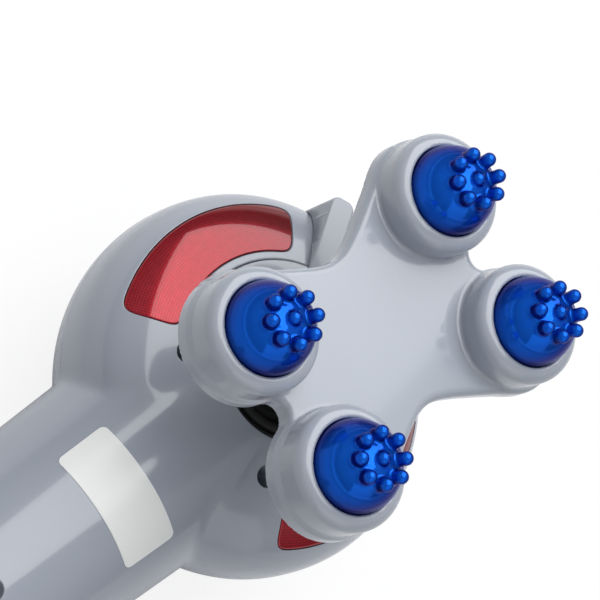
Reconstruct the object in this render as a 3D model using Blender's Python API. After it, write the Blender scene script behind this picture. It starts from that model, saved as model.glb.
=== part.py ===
"""Electric vibration massager, lying on the back of its head with the rollers up.

The frame is in metres, +Z up, with its origin at the centre of the flat on the back of
the head. The handle runs along +X and falls until its end rests on the same plane.
Every piece is built around the centre of the head or along the axis of the handle, and
two empties, head_centre and handle_axis, put those two frames in their places.
"""
import math

import bmesh
import bpy
from mathutils import Matrix, Vector

# Head: a round drum with a flattish face above its middle plane and a deep back below
HEAD_RADIUS = 0.0620
FACE_RISE = 0.0317
REST_HEIGHT = 0.0500
REST_RADIUS = 0.0240
FACE_POWER_SHARE = 3.0
BACK_POWER_SHARE = 1.85
WALL = 0.0025

# Handle: a straight cone from the head to a rounded end
HANDLE_LENGTH = 0.3300
HANDLE_ROOT_RADIUS = 0.0368
HANDLE_END_RADIUS = 0.0235
HANDLE_END_ROUND = 0.0120
HANDLE_TOP_HEIGHT = 0.0312

# Fits shared by all pieces
GAP = 0.0003
RUNNING_GAP = 0.0006
CUT_OVERRUN = 0.0200
WELD = 0.000002

# Opening in the face, with the release ring and the boot inside it
OPENING_RADIUS = 0.0232
OPENING_LIP_WALL = 0.0022
OPENING_LIP_BOTTOM = 0.0243
RING_WALL = 0.0015
RING_TOP = 0.0292
RING_FLANGE_RADIUS = 0.0258
RING_FLANGE_THICKNESS = 0.0025
BOOT_WALL = 0.0013
BOOT_FLANGE_THICKNESS = 0.0022
BOOT_CREST = 0.0306
BOOT_VALLEY = 0.0250
RETAINER_THICKNESS = 0.0030
RETAINER_RADIUS = 0.0329
RETAINER_BORE = 0.0170
PILLAR_PITCH_RADIUS = 0.0297
PILLAR_RADIUS = 0.0031
PILLAR_COUNT = 3
RETAINER_SCREW_GRIP = 0.0045

# Release lever: a curved shoe in a pocket of the face, with a thumb tab over the rim
SHOE_OUTER_RADIUS = 0.0351
SHOE_PROUD = 0.0008
SHOE_START_DEG = -88.0
SHOE_END_DEG = -166.0
POCKET_FLOOR = 0.0264
POCKET_FLOOR_WALL = 0.0022
POCKET_SIDE_WALL = 0.0012
LEVER_SWING_DEG = 20.0
TAB_CENTRE_DEG = -148.2
TAB_WIDTH = 0.0088
TAB_REACH = 0.0615
TAB_TOP = 0.0320
TAB_BOTTOM = 0.0092
TAB_ROUND = 0.0030

# Windows over the warming lamps
WINDOW_SHOE_SPACE = 0.0030
WINDOW_RIM_SPACE = 0.0064
WINDOW_INNER_RADIUS = SHOE_OUTER_RADIUS + WINDOW_SHOE_SPACE
WINDOW_OUTER_RADIUS = HEAD_RADIUS - WINDOW_RIM_SPACE
WINDOW_NEAR_INNER_DEG = 51.6
WINDOW_NEAR_OUTER_DEG = 52.6
WINDOW_FAR_INNER_DEG = 132.4
WINDOW_FAR_OUTER_DEG = 135.0
WINDOW_SINK = 0.0002
FLANGE_WIDTH = 0.0020
FLANGE_THICKNESS = 0.0012
LAMP_WINDOW_GAP = 0.0008
LAMP_BOARD_THICKNESS = 0.0016
LAMP_BOARD_INNER_INSET = 0.0027
LAMP_BOARD_OUTER_INSET = 0.0010
LAMP_BOARD_INNER_RADIUS = WINDOW_INNER_RADIUS + LAMP_BOARD_INNER_INSET
LAMP_BOARD_OUTER_RADIUS = WINDOW_OUTER_RADIUS - LAMP_BOARD_OUTER_INSET
LAMP_ROW_RADIUS = (LAMP_BOARD_INNER_RADIUS + LAMP_BOARD_OUTER_RADIUS) / 2
LAMP_POST_RADIUS = 0.0018
LAMP_POST_INSET = 0.0019
LAMP_POST_GAP = 0.0010
LAMP_RADIUS = 0.0028
LAMP_HEIGHT = 0.0075
LAMP_COUNT = 3

# Casing screws, sunk in wells: a pair by the face and two along the handle
WELL_RADIUS = 0.0035
WELL_WALL = 0.0017
WELL_SEAT_HEIGHT = 0.0060
HEAD_WELL_X = 0.0265
HEAD_WELL_Y = 0.0228
HANDLE_WELL_NEAR_X = 0.1180
HANDLE_WELL_END_SPACE = 0.0580
HANDLE_WELL_FAR_X = HANDLE_LENGTH - HANDLE_WELL_END_SPACE
SCREW_HEAD_RADIUS = 0.0029
SCREW_HEAD_HEIGHT = 0.0022
SCREW_SHANK_RADIUS = 0.0013
SCREW_LENGTH = 0.0160

# Motor carrier, which hangs in three rubber bushes and carries the post
CARRIER_INNER_RADIUS = 0.0213
CARRIER_WALL = 0.0025
CARRIER_BOTTOM = -0.0300
CARRIER_TOP = 0.0080
CARRIER_PLATE = 0.0030
CARRIER_FLANGE_RADIUS = 0.0329
POST_RADIUS = 0.0080
POST_TOP = 0.0680
POST_BORE_RADIUS = 0.0030
BUSH_RADIUS = 0.0050

# Motor, upright inside the carrier
MOTOR_FLOOR_SPACE = 0.0080
MOTOR_BOTTOM = MOTOR_FLOOR_SPACE - REST_HEIGHT
MOTOR_TOP = -0.0120
MOTOR_END_SPACE = 0.0140
MOTOR_WALL = 0.0018
MAGNET_THICKNESS = 0.0032
MAGNET_SPAN_DEG = 120.0
MAGNET_END_CLEARANCE = 0.0025
END_CAP_THICKNESS = 0.0025
BEARING_RADIUS = 0.0050
BEARING_HEIGHT = 0.0032
SHAFT_RADIUS = 0.0020
ARMATURE_RADIUS = 0.0150
ARMATURE_HEIGHT = MOTOR_TOP - MOTOR_BOTTOM - MOTOR_END_SPACE
COMMUTATOR_RADIUS = 0.0050
COMMUTATOR_HEIGHT = 0.0040
BRUSH_HEIGHT = 0.0030
BRUSH_WIDTH = 0.0040
BRUSH_RING_WIDTH = 0.0030
BRUSH_RING_THICKNESS = 0.0015
FAN_RADIUS = 0.0180
FAN_DISC = 0.0010
FAN_HEIGHT = 0.0030
FAN_HUB_RADIUS = 0.0042
FAN_BLADE_THICKNESS = 0.0010
FAN_BLADES = 9
WEIGHT_RADIUS = 0.0150
WEIGHT_HEIGHT = 0.0050
WEIGHT_HUB_RADIUS = 0.0048
ROTOR_SPACING = 0.0010

# Attachment: a cross-shaped plate with four cups, a back cover and a socket collar
PLATE_SHIFT_X = -0.0025
PLATE_TOP = 0.0820
PLATE_BOTTOM = 0.0750
PLATE_WALL = 0.0020
PLATE_EDGE_ROUND = 0.0024
CUP_PITCH_X = 0.0405
CUP_PITCH_Y = 0.0234
CUP_RADIUS = 0.0196
CUP_DRAFT = 0.0009
CUP_BORE_RADIUS = 0.0142
CUP_CREST = 0.0932
CUP_FLOOR = 0.0855
CUP_FLOOR_WALL = 0.0020
CUP_FOOT_ROUND = 0.0030
CUP_CREST_INSET_SHARE = 0.38
LONG_WAIST_RADIUS = 0.0410
SHORT_WAIST_RADIUS = 0.0048
BACK_COVER_THICKNESS = 0.0018
COLLAR_BOTTOM = 0.0335
COLLAR_WALL = 0.0045
COLLAR_FLANGE_RADIUS = 0.0222
COLLAR_FLANGE_THICKNESS = 0.0030
COLLAR_BEVEL = 0.0015
COLLAR_SCREW_PITCH = 0.0191
COLLAR_SCREW_COUNT = 3
COLLAR_SCREW_HEAD_RADIUS = 0.0019
COLLAR_SCREW_HEIGHT = 0.0016
COLLAR_SCREW_RADIUS = 0.0010

# Rollers: a hollow dome with nubs, a base plate snapped into it, and a fixed pin
DOME_RADIUS = 0.0136
DOME_WALL = 0.0018
DOME_CENTRE = 0.0930
DOME_SKIRT_BOTTOM = 0.0868
NUB_RADIUS = 0.0021
NUB_RING_RADIUS = 0.0081
NUB_RING_RISE = 0.0169
NUB_CENTRE_RISE = 0.0164
NUB_LEAN_DEG = 12.0
NUB_COUNT = 8
NUB_PHASES_DEG = (22.0, 20.0, 9.0, 12.0)
BASE_THICKNESS = 0.0020
BASE_BOTTOM = 0.0874
BASE_HUB_RADIUS = 0.0042
BASE_HUB_TOP = 0.0915
PIN_RADIUS = 0.0020
PIN_HEAD_RADIUS = 0.0036
PIN_HEAD_HEIGHT = 0.0015
PIN_BOSS_RADIUS = 0.0042
PIN_BOTTOM = 0.0778

# Controls on the back of the handle, and the inlet for the cord at its end
BOARD_START_X = 0.1260
BOARD_END_X = 0.2100
BOARD_HALF_WIDTH = 0.0110
BOARD_UNDERSIDE = -0.0060
BOARD_THICKNESS = 0.0016
BOARD_POST_RADIUS = 0.0030
BOARD_POST_INSET = 0.0050
BOARD_POST_NEAR_X = 0.1580
DIAL_X = 0.1380
DIAL_RADIUS = 0.0130
DIAL_HALF_THICKNESS = 0.0025
DIAL_PROUD = 0.0025
DIAL_AXLE_RADIUS = 0.0017
DIAL_AXLE_LENGTH = 0.0060
DIAL_RIB_COUNT = 24
DIAL_RIB_DEPTH = 0.0004
POT_LENGTH = 0.0120
POT_WIDTH = 0.0080
POT_DROP = 0.0038
SWITCH_X = 0.1800
SWITCH_LENGTH = 0.0210
SWITCH_WIDTH = 0.0140
SWITCH_WALL = 0.0014
SWITCH_RIM_PROUD = 0.0008
ROCKER_PIVOT_DEPTH = 0.0052
ROCKER_SWING_DEG = 9.0
ROCKER_BULGE = 0.0014
INLET_BORE_RADIUS = 0.0042
INLET_NECK_RADIUS = 0.0062
INLET_FLANGE_RADIUS = 0.0088
INLET_FLANGE_THICKNESS = 0.0030

# Rating label on the neck, bare
LABEL_START_X = 0.0594
LABEL_END_X = 0.0779
LABEL_HALF_SPAN_DEG = 35.5
LABEL_THICKNESS = 0.0003
LABEL_CORNER = 0.0020

# Cooling slots round the back of the head
SLOT_COUNT = 5
SLOT_START_DEG = 120.0
SLOT_PITCH_DEG = 30.0
SLOT_SPAN_DEG = 16.0
SLOT_INNER_RADIUS = 0.0430
SLOT_WIDTH = 0.0022

# Facets
HEAD_SEGMENTS = 40
HANDLE_SEGMENTS = 32
CUP_SEGMENTS = 24
MIDDLE_SEGMENTS = 24
DOME_SEGMENTS = 20
ROUND_SEGMENTS = 14
SMALL_SEGMENTS = 8
NUB_SEGMENTS = 6
PROFILE_STEPS = 6
OUTLINE_STEPS = 6
BACK_STEPS = 5
WINDOW_STEPS = 7

HANDLE_TILT = math.atan((REST_HEIGHT - HANDLE_END_RADIUS) / (HANDLE_LENGTH - HANDLE_END_ROUND))
BACK_DEPTH = REST_HEIGHT / (1 - (REST_RADIUS / HEAD_RADIUS) ** BACK_POWER_SHARE) ** (1 / BACK_POWER_SHARE)
HANDLE_TURN = Matrix.Rotation(HANDLE_TILT, 4, 'Y')


def handle_radius(x):
    """Outer radius of the handle at a distance x from the centre of the head."""
    slope = (HANDLE_ROOT_RADIUS - HANDLE_END_RADIUS) / (HANDLE_LENGTH - HANDLE_END_ROUND)
    return HANDLE_ROOT_RADIUS - slope * x


def face_height(radius):
    """Height of the face at a radius."""
    share = min(radius / HEAD_RADIUS, 1.0)
    return FACE_RISE * (1 - share ** FACE_POWER_SHARE) ** (1 / FACE_POWER_SHARE)


def polar(radius, degrees, height=0.0):
    """Point at a radius and an angle round the head's axis."""
    angle = math.radians(degrees)
    return Vector((radius * math.cos(angle), radius * math.sin(angle), height))


def curve_points(radius, height, power, steps):
    """Quarter of a rounded profile, from the axis at full height to the rim at zero."""
    points = []
    for step in range(steps + 1):
        angle = math.pi / 2 * (1 - step / steps)
        across = radius * max(math.cos(angle), 0.0) ** (2 / power)
        points.append((across, height * math.sin(angle) ** (2 / power)))
    points[0] = (0.0, height)
    points[-1] = (radius, 0.0)
    return points


def arc(centre, radius, start_deg, end_deg, steps):
    """Points of an arc in a plane, as pairs."""
    points = []
    for step in range(steps + 1):
        angle = math.radians(start_deg + (end_deg - start_deg) * step / steps)
        points.append((centre[0] + radius * math.cos(angle), centre[1] + radius * math.sin(angle)))
    return points


def rounded(corners, radius, steps=3):
    """Outline with each corner replaced by an arc of the given radius."""
    points = []
    count = len(corners)
    for index in range(count):
        corner = Vector(corners[index])
        before = (Vector(corners[index - 1]) - corner).normalized()
        after = (Vector(corners[(index + 1) % count]) - corner).normalized()
        half = before.angle(after) / 2
        reach = radius / math.tan(half)
        centre = corner + (before + after).normalized() * (radius / math.sin(half))
        first = corner + before * reach - centre
        last = corner + after * reach - centre
        for step in range(steps + 1):
            spoke = first.lerp(last, step / steps).normalized() * radius
            points.append(tuple(centre + spoke))
    return points


def finish(name, colour, roughness, metallic=0.0, transmission=0.0):
    """Plain material with a colour, a roughness and a metallic value."""
    material = bpy.data.materials.new(name)
    material.use_nodes = True
    shader = material.node_tree.nodes['Principled BSDF']
    shader.inputs['Base Color'].default_value = (*colour, 1.0)
    shader.inputs['Roughness'].default_value = roughness
    shader.inputs['Metallic'].default_value = metallic
    shader.inputs['Transmission Weight'].default_value = transmission
    material.diffuse_color = (*colour, 1.0)
    return material


def solid(shape, transform=None):
    """Bare object from a bmesh, with its faces out, for use in later steps."""
    bmesh.ops.remove_doubles(shape, verts=shape.verts, dist=WELD)
    if transform is not None:
        bmesh.ops.transform(shape, matrix=transform, verts=shape.verts)
    bmesh.ops.recalc_face_normals(shape, faces=shape.faces)
    mesh = bpy.data.meshes.new('shape')
    shape.to_mesh(mesh)
    shape.free()
    made = bpy.data.objects.new('shape', mesh)
    bpy.context.scene.collection.objects.link(made)
    return made


def turned(profile, segments, transform=None):
    """Solid turned about Z from a profile of (radius, height) points."""
    shape = bmesh.new()
    chain = [shape.verts.new((radius, 0.0, height)) for radius, height in profile]
    edges = [shape.edges.new(pair) for pair in zip(chain, chain[1:])]
    if profile[0][0] > 0 or profile[-1][0] > 0:
        edges.append(shape.edges.new((chain[-1], chain[0])))
    bmesh.ops.spin(shape, geom=edges, cent=(0, 0, 0), axis=(0, 0, 1), angle=math.tau,
                   steps=segments, use_merge=True, use_duplicate=False)
    return solid(shape, transform)


def prism(outline, bottom, top, transform=None):
    """Solid raised from an outline of (x, y) points between two heights."""
    shape = bmesh.new()
    base = shape.faces.new([shape.verts.new((x, y, bottom)) for x, y in outline])
    raised = bmesh.ops.extrude_face_region(shape, geom=[base])
    moved = [item for item in raised['geom'] if isinstance(item, bmesh.types.BMVert)]
    bmesh.ops.translate(shape, vec=(0, 0, top - bottom), verts=moved)
    return solid(shape, transform)


def block(low, high, transform=None):
    """Box between two corners."""
    outline = [(low[0], low[1]), (high[0], low[1]), (high[0], high[1]), (low[0], high[1])]
    return prism(outline, low[2], high[2], transform)


def rod(radius, bottom, top, centre=(0.0, 0.0), segments=SMALL_SEGMENTS, transform=None):
    """Upright cylinder."""
    place = Matrix.Translation((centre[0], centre[1], 0.0))
    if transform is not None:
        place = transform @ place
    return turned([(0.0, top), (radius, top), (radius, bottom), (0.0, bottom)], segments, place)


def tube(inner, outer, bottom, top, segments=ROUND_SEGMENTS, transform=None):
    """Upright tube."""
    profile = [(inner, top), (outer, top), (outer, bottom), (inner, bottom)]
    return turned(profile, segments, transform)


def sector_outline(inner, outer, start_deg, end_deg, steps):
    """Outline of a ring sector round the head's axis."""
    return arc((0, 0), inner, start_deg, end_deg, steps) + arc((0, 0), outer, end_deg, start_deg, steps)


def sector(inner, outer, start_deg, end_deg, bottom, top, steps=10):
    """Solid ring sector round the head's axis."""
    return prism(sector_outline(inner, outer, start_deg, end_deg, steps), bottom, top)


def combine(base, others, operation):
    """Boolean of a solid with others, one after another, which uses them up."""
    for other in others:
        change = base.modifiers.new(operation, 'BOOLEAN')
        change.operation = operation
        change.solver = 'EXACT'
        change.object = other
        bpy.context.view_layer.update()
        seen = base.evaluated_get(bpy.context.evaluated_depsgraph_get())
        shape = bmesh.new()
        shape.from_mesh(seen.data)
        bmesh.ops.remove_doubles(shape, verts=shape.verts, dist=WELD)
        bmesh.ops.dissolve_degenerate(shape, edges=shape.edges, dist=WELD)
        base.modifiers.clear()
        shape.to_mesh(base.data)
        shape.free()
        bpy.data.objects.remove(other)
    return base


def cut(base, *others):
    """Take others out of a solid."""
    return combine(base, others, 'DIFFERENCE')


def fuse(base, *others):
    """Join others to a solid."""
    return combine(base, others, 'UNION')


def keep(base, *others):
    """Keep only what a solid shares with others."""
    return combine(base, others, 'INTERSECT')


def twin(source):
    """Copy of a bare solid with a mesh of its own."""
    copy = source.copy()
    copy.data = source.data.copy()
    bpy.context.scene.collection.objects.link(copy)
    return copy


def grouped(first, *others):
    """Separate solids that share one node."""
    shape = bmesh.new()
    for item in (first, *others):
        shape.from_mesh(item.data)
    shape.to_mesh(first.data)
    shape.free()
    for item in others:
        bpy.data.objects.remove(item)
    return first


def piece(name, shape, material, frame, pivot=(0, 0, 0)):
    """Name a finished solid, put its origin on its pivot and hang it in its frame."""
    pivot = Vector(pivot)
    shape.data.transform(Matrix.Translation(-pivot))
    shape.name = name
    shape.data.name = name
    shape.data.materials.clear()
    shape.data.materials.append(material)
    shape.data.shade_smooth()
    shape.data.set_sharp_from_angle(angle=math.radians(32))
    shape.parent = frame
    shape.location = pivot
    return shape


def numbered(name, shapes, material, frame):
    """Like pieces as nodes of their own, numbered from one."""
    for index, shape in enumerate(shapes):
        piece('%s_%d' % (name, index + 1), shape, material, frame)


def head_body(depth):
    """Solid head, with its skin moved in by depth."""
    face = curve_points(HEAD_RADIUS - depth, FACE_RISE - depth, FACE_POWER_SHARE, PROFILE_STEPS)
    profile = list(face)
    rest_drop = REST_HEIGHT - depth
    back_drop = BACK_DEPTH - depth
    rim_share = 1 - (rest_drop / back_drop) ** BACK_POWER_SHARE
    rest_rim = (HEAD_RADIUS - depth) * rim_share ** (1 / BACK_POWER_SHARE)
    last_angle = math.acos((rest_rim / (HEAD_RADIUS - depth)) ** (BACK_POWER_SHARE / 2))
    for step in range(1, PROFILE_STEPS + 1):
        angle = last_angle * step / PROFILE_STEPS
        radius = (HEAD_RADIUS - depth) * math.cos(angle) ** (2 / BACK_POWER_SHARE)
        profile.append((radius, -back_drop * math.sin(angle) ** (2 / BACK_POWER_SHARE)))
    profile.append((0.0, -rest_drop))
    return turned(profile, HEAD_SEGMENTS)


def handle_body(depth):
    """Solid handle in the head's frame, with its skin moved in by depth."""
    straight_end = HANDLE_LENGTH - HANDLE_END_ROUND
    end_radius = HANDLE_END_RADIUS - depth
    flat_radius = end_radius - HANDLE_END_ROUND + depth
    profile = [(0.0, 0.0), (HANDLE_ROOT_RADIUS - depth, 0.0)]
    round_radius = HANDLE_END_ROUND - depth
    profile += arc((flat_radius, straight_end), round_radius, 0, 90, 4)
    profile.append((0.0, HANDLE_LENGTH - depth))
    lay_down = HANDLE_TURN @ Matrix.Rotation(math.pi / 2, 4, 'Y')
    body = turned(profile, HANDLE_SEGMENTS, lay_down)
    reach = HANDLE_LENGTH + CUT_OVERRUN
    under = block((-reach, -reach, -reach), (reach, reach, HANDLE_TOP_HEIGHT - depth))
    return keep(body, under)


def casing_body(depth):
    """Head and handle as one solid, with its skin moved in by depth."""
    return fuse(head_body(depth), handle_body(depth))


def half_space(side):
    """Block on one side of the split plane, which holds the handle's axis."""
    reach = HANDLE_LENGTH + CUT_OVERRUN
    if side > 0:
        return block((-reach, -reach, GAP / 2), (reach, reach, reach), HANDLE_TURN)
    return block((-reach, -reach, -reach), (reach, reach, -GAP / 2), HANDLE_TURN)


HEAD_WELLS = [(HEAD_WELL_X, HEAD_WELL_Y), (HEAD_WELL_X, -HEAD_WELL_Y)]
HANDLE_WELLS = [(HANDLE_WELL_NEAR_X, 0.0), (HANDLE_WELL_FAR_X, 0.0)]


def at_wells(make):
    """Solids made by one call for each casing screw, in the head's frame."""
    fall = -math.tan(HANDLE_TILT)
    made = [make(centre, Matrix.Identity(4), centre[0] * fall) for centre in HEAD_WELLS]
    made += [make(centre, HANDLE_TURN, 0.0) for centre in HANDLE_WELLS]
    return made


def well_boss(centre, transform, split):
    radius = WELL_RADIUS + WELL_WALL
    return rod(radius, split - REST_HEIGHT, split + REST_HEIGHT, centre, ROUND_SEGMENTS, transform)


def head_well_room(low, high):
    """Space round the bosses of the two head wells, for the parts that stand beside them."""
    radius = WELL_RADIUS + WELL_WALL + GAP
    return [rod(radius, low, high, centre, ROUND_SEGMENTS) for centre in HEAD_WELLS]


def well_cut(centre, transform, split):
    """Well for the head of a casing screw, with the hole for its shank below."""
    seat = split + WELL_SEAT_HEIGHT
    hole = SCREW_SHANK_RADIUS + GAP
    low = seat - SCREW_LENGTH
    top = split + REST_HEIGHT
    profile = [(0.0, top), (WELL_RADIUS, top), (WELL_RADIUS, seat), (hole, seat), (hole, low), (0.0, low)]
    return turned(profile, ROUND_SEGMENTS, transform @ Matrix.Translation((centre[0], centre[1], 0.0)))


def casing_screw(centre, transform, split):
    seat = split + WELL_SEAT_HEIGHT + GAP
    profile = [(0.0, seat + SCREW_HEAD_HEIGHT), (SCREW_HEAD_RADIUS, seat + SCREW_HEAD_HEIGHT),
               (SCREW_HEAD_RADIUS, seat), (SCREW_SHANK_RADIUS, seat),
               (SCREW_SHANK_RADIUS, seat - SCREW_LENGTH), (0.0, seat - SCREW_LENGTH)]
    return turned(profile, SMALL_SEGMENTS, transform @ Matrix.Translation((centre[0], centre[1], 0.0)))


def window_outline(grow, inner_grow):
    """Outline of the left window, grown by a margin on its inner arc and by another elsewhere."""
    inner = WINDOW_INNER_RADIUS - inner_grow
    outer = WINDOW_OUTER_RADIUS + grow
    inner_turn = math.degrees(grow / inner)
    outer_turn = math.degrees(grow / outer)
    inner_arc = arc((0, 0), inner, WINDOW_NEAR_INNER_DEG - inner_turn,
                    WINDOW_FAR_INNER_DEG + inner_turn, WINDOW_STEPS)
    outer_arc = arc((0, 0), outer, WINDOW_FAR_OUTER_DEG + outer_turn,
                    WINDOW_NEAR_OUTER_DEG - outer_turn, WINDOW_STEPS)
    return inner_arc + outer_arc


def window_prism(grow, inner_grow):
    return prism(window_outline(grow, inner_grow), 0.0, FACE_RISE + CUT_OVERRUN)


def face_band(outside_depth, inside_depth):
    """Thin shell that follows the head between two depths under its outside."""
    return cut(head_body(outside_depth), head_body(inside_depth))


def mirrored(shape):
    """Copy of a solid on the other side of the handle's plane."""
    other = twin(shape)
    flip = bmesh.new()
    flip.from_mesh(other.data)
    bmesh.ops.transform(flip, matrix=Matrix.Scale(-1, 4, (0, 1, 0)), verts=flip.verts)
    bmesh.ops.reverse_faces(flip, faces=flip.faces)
    flip.to_mesh(other.data)
    flip.free()
    return other


def lamp_board_top():
    """Height of the lamp boards, which keeps the lamps clear of the windows' flanges."""
    depth = WALL + GAP + FLANGE_THICKNESS
    share = (LAMP_ROW_RADIUS + LAMP_RADIUS) / (HEAD_RADIUS - depth)
    flange = (FACE_RISE - depth) * (1 - share ** FACE_POWER_SHARE) ** (1 / FACE_POWER_SHARE)
    return flange - LAMP_WINDOW_GAP - LAMP_HEIGHT


def lamp_post_angles():
    """Angles of the two posts of a lamp board, just clear of the window's flange."""
    share = (LAMP_ROW_RADIUS - WINDOW_INNER_RADIUS) / (WINDOW_OUTER_RADIUS - WINDOW_INNER_RADIUS)
    near = WINDOW_NEAR_INNER_DEG + (WINDOW_NEAR_OUTER_DEG - WINDOW_NEAR_INNER_DEG) * share
    far = WINDOW_FAR_INNER_DEG + (WINDOW_FAR_OUTER_DEG - WINDOW_FAR_INNER_DEG) * share
    clear = math.degrees((FLANGE_WIDTH + LAMP_POST_RADIUS + LAMP_POST_GAP) / LAMP_ROW_RADIUS)
    return near - clear, far + clear


def lamp_posts():
    """Posts under the face that the lamp boards are screwed against."""
    made = []
    for side in (1, -1):
        for degrees in lamp_post_angles():
            place = polar(LAMP_ROW_RADIUS, side * degrees)
            made.append(rod(LAMP_POST_RADIUS, lamp_board_top() + GAP, FACE_RISE, place[:2]))
    return made


def pillar_places(offset_deg=0.0):
    """Angles shared by the pillars, the retainer screws and, half a pitch on, the bushes."""
    return [offset_deg + 360 / PILLAR_COUNT * index for index in range(PILLAR_COUNT)]


def retainer_height():
    """Top of the retainer, under the lip, the ring's flange and the boot's flange."""
    return OPENING_LIP_BOTTOM - RING_FLANGE_THICKNESS - BOOT_FLANGE_THICKNESS - 3 * GAP


def board_posts():
    """Posts in the back of the handle that carry the control board."""
    made = []
    for x in (BOARD_POST_NEAR_X, BOARD_END_X - BOARD_POST_INSET):
        made.append(rod(BOARD_POST_RADIUS, -handle_radius(x), BOARD_UNDERSIDE - GAP, (x, 0.0),
                        SMALL_SEGMENTS, HANDLE_TURN))
    return made


def front_casing(materials, frame):
    """Face side of the head and handle, with its wells, pocket, windows and opening."""
    retainer_top = retainer_height()
    pocket_start = SHOE_START_DEG + math.degrees(GAP / SHOE_OUTER_RADIUS)
    pocket_end = SHOE_END_DEG - LEVER_SWING_DEG - math.degrees(GAP / OPENING_RADIUS)
    cavity = casing_body(WALL)
    lip = tube(OPENING_RADIUS - WALL, OPENING_RADIUS + OPENING_LIP_WALL, OPENING_LIP_BOTTOM,
               FACE_RISE, HEAD_SEGMENTS)
    side_turn = math.degrees(POCKET_SIDE_WALL / OPENING_RADIUS)
    floor = sector(OPENING_RADIUS - WALL, SHOE_OUTER_RADIUS + GAP + POCKET_SIDE_WALL,
                   pocket_start + side_turn, pocket_end - side_turn,
                   POCKET_FLOOR - POCKET_FLOOR_WALL, FACE_RISE)
    pillars = []
    pillar_holes = []
    for degrees in pillar_places():
        centre = polar(PILLAR_PITCH_RADIUS, degrees)[:2]
        pillars.append(rod(PILLAR_RADIUS, retainer_top + GAP, FACE_RISE, centre))
        pillar_holes.append(rod(SCREW_SHANK_RADIUS + GAP, retainer_top,
                                retainer_top + RETAINER_SCREW_GRIP + 2 * GAP, centre))
    cavity = cut(cavity, lip, floor, *pillars, *lamp_posts(), *at_wells(well_boss))
    shell = keep(casing_body(0.0), half_space(1))
    shell = cut(shell, cavity)
    opening = rod(OPENING_RADIUS, 0.0, FACE_RISE + CUT_OVERRUN, segments=HEAD_SEGMENTS)
    pocket = sector(OPENING_RADIUS - WALL, SHOE_OUTER_RADIUS + GAP, pocket_start, pocket_end,
                    POCKET_FLOOR, FACE_RISE + CUT_OVERRUN)
    left = window_prism(GAP, GAP)
    right = mirrored(left)
    inlet = inlet_cut()
    shell = cut(shell, opening, pocket, left, right, inlet, *pillar_holes, *at_wells(well_cut))
    return piece('front_casing', shell, materials['shell'], frame)


def inlet_place():
    """Frame at the end of the handle with its Z along the handle's axis."""
    along = Matrix.Translation((HANDLE_LENGTH, 0, 0))
    return HANDLE_TURN @ along @ Matrix.Rotation(math.pi / 2, 4, 'Y')


def inlet_cut():
    """Hole in the end of the handle for the neck of the cord's bush."""
    return rod(INLET_NECK_RADIUS + GAP, -CUT_OVERRUN, CUT_OVERRUN, segments=ROUND_SEGMENTS,
               transform=inlet_place())


def dial_height():
    """Height of the dial's axle in the handle's frame."""
    return -handle_radius(DIAL_X) - DIAL_PROUD + DIAL_RADIUS


def switch_face():
    """Height of the outer rim of the switch in the handle's frame."""
    return -handle_radius(SWITCH_X) - SWITCH_RIM_PROUD


def back_casing(materials, frame):
    """Back of the head and handle, with slots for air, the dial and the switch."""
    cavity = cut(casing_body(WALL), *at_wells(well_boss), *board_posts())
    shell = keep(casing_body(0.0), half_space(-1))
    shell = cut(shell, cavity)
    wheel_to_wall = DIAL_RADIUS - DIAL_PROUD - WALL - RUNNING_GAP
    half_chord = math.sqrt(DIAL_RADIUS ** 2 - wheel_to_wall ** 2) + RUNNING_GAP
    half_slot = DIAL_HALF_THICKNESS + RUNNING_GAP
    low = -handle_radius(0.0)
    dial_slot = block((DIAL_X - half_chord, -half_slot, low),
                      (DIAL_X + half_chord, half_slot, dial_height()), HANDLE_TURN)
    half_length = SWITCH_LENGTH / 2 + GAP
    half_width = SWITCH_WIDTH / 2 + GAP
    switch_slot = block((SWITCH_X - half_length, -half_width, low),
                        (SWITCH_X + half_length, half_width, switch_face() + DIAL_RADIUS), HANDLE_TURN)
    inlet = inlet_cut()
    slots = []
    for index in range(SLOT_COUNT):
        start = SLOT_START_DEG + SLOT_PITCH_DEG * index - SLOT_SPAN_DEG / 2
        slots.append(sector(SLOT_INNER_RADIUS, SLOT_INNER_RADIUS + SLOT_WIDTH, start,
                            start + SLOT_SPAN_DEG, -REST_HEIGHT, -SLOT_INNER_RADIUS / 2, 3))
    shell = cut(shell, dial_slot, switch_slot, inlet, *slots, *at_wells(well_cut))
    return piece('back_casing', shell, materials['shell'], frame)


def windows(materials, frame):
    """Red lenses, each with a flange behind the casing."""
    lens = keep(face_band(WINDOW_SINK, WALL + FLANGE_THICKNESS / 2 + GAP), window_prism(0.0, 0.0))
    flange = keep(face_band(WALL + GAP, WALL + GAP + FLANGE_THICKNESS), window_prism(FLANGE_WIDTH, 0.0))
    lens = fuse(lens, flange)
    other = mirrored(lens)
    piece('window_left', lens, materials['window'], frame)
    piece('window_right', other, materials['window'], frame)


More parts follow.
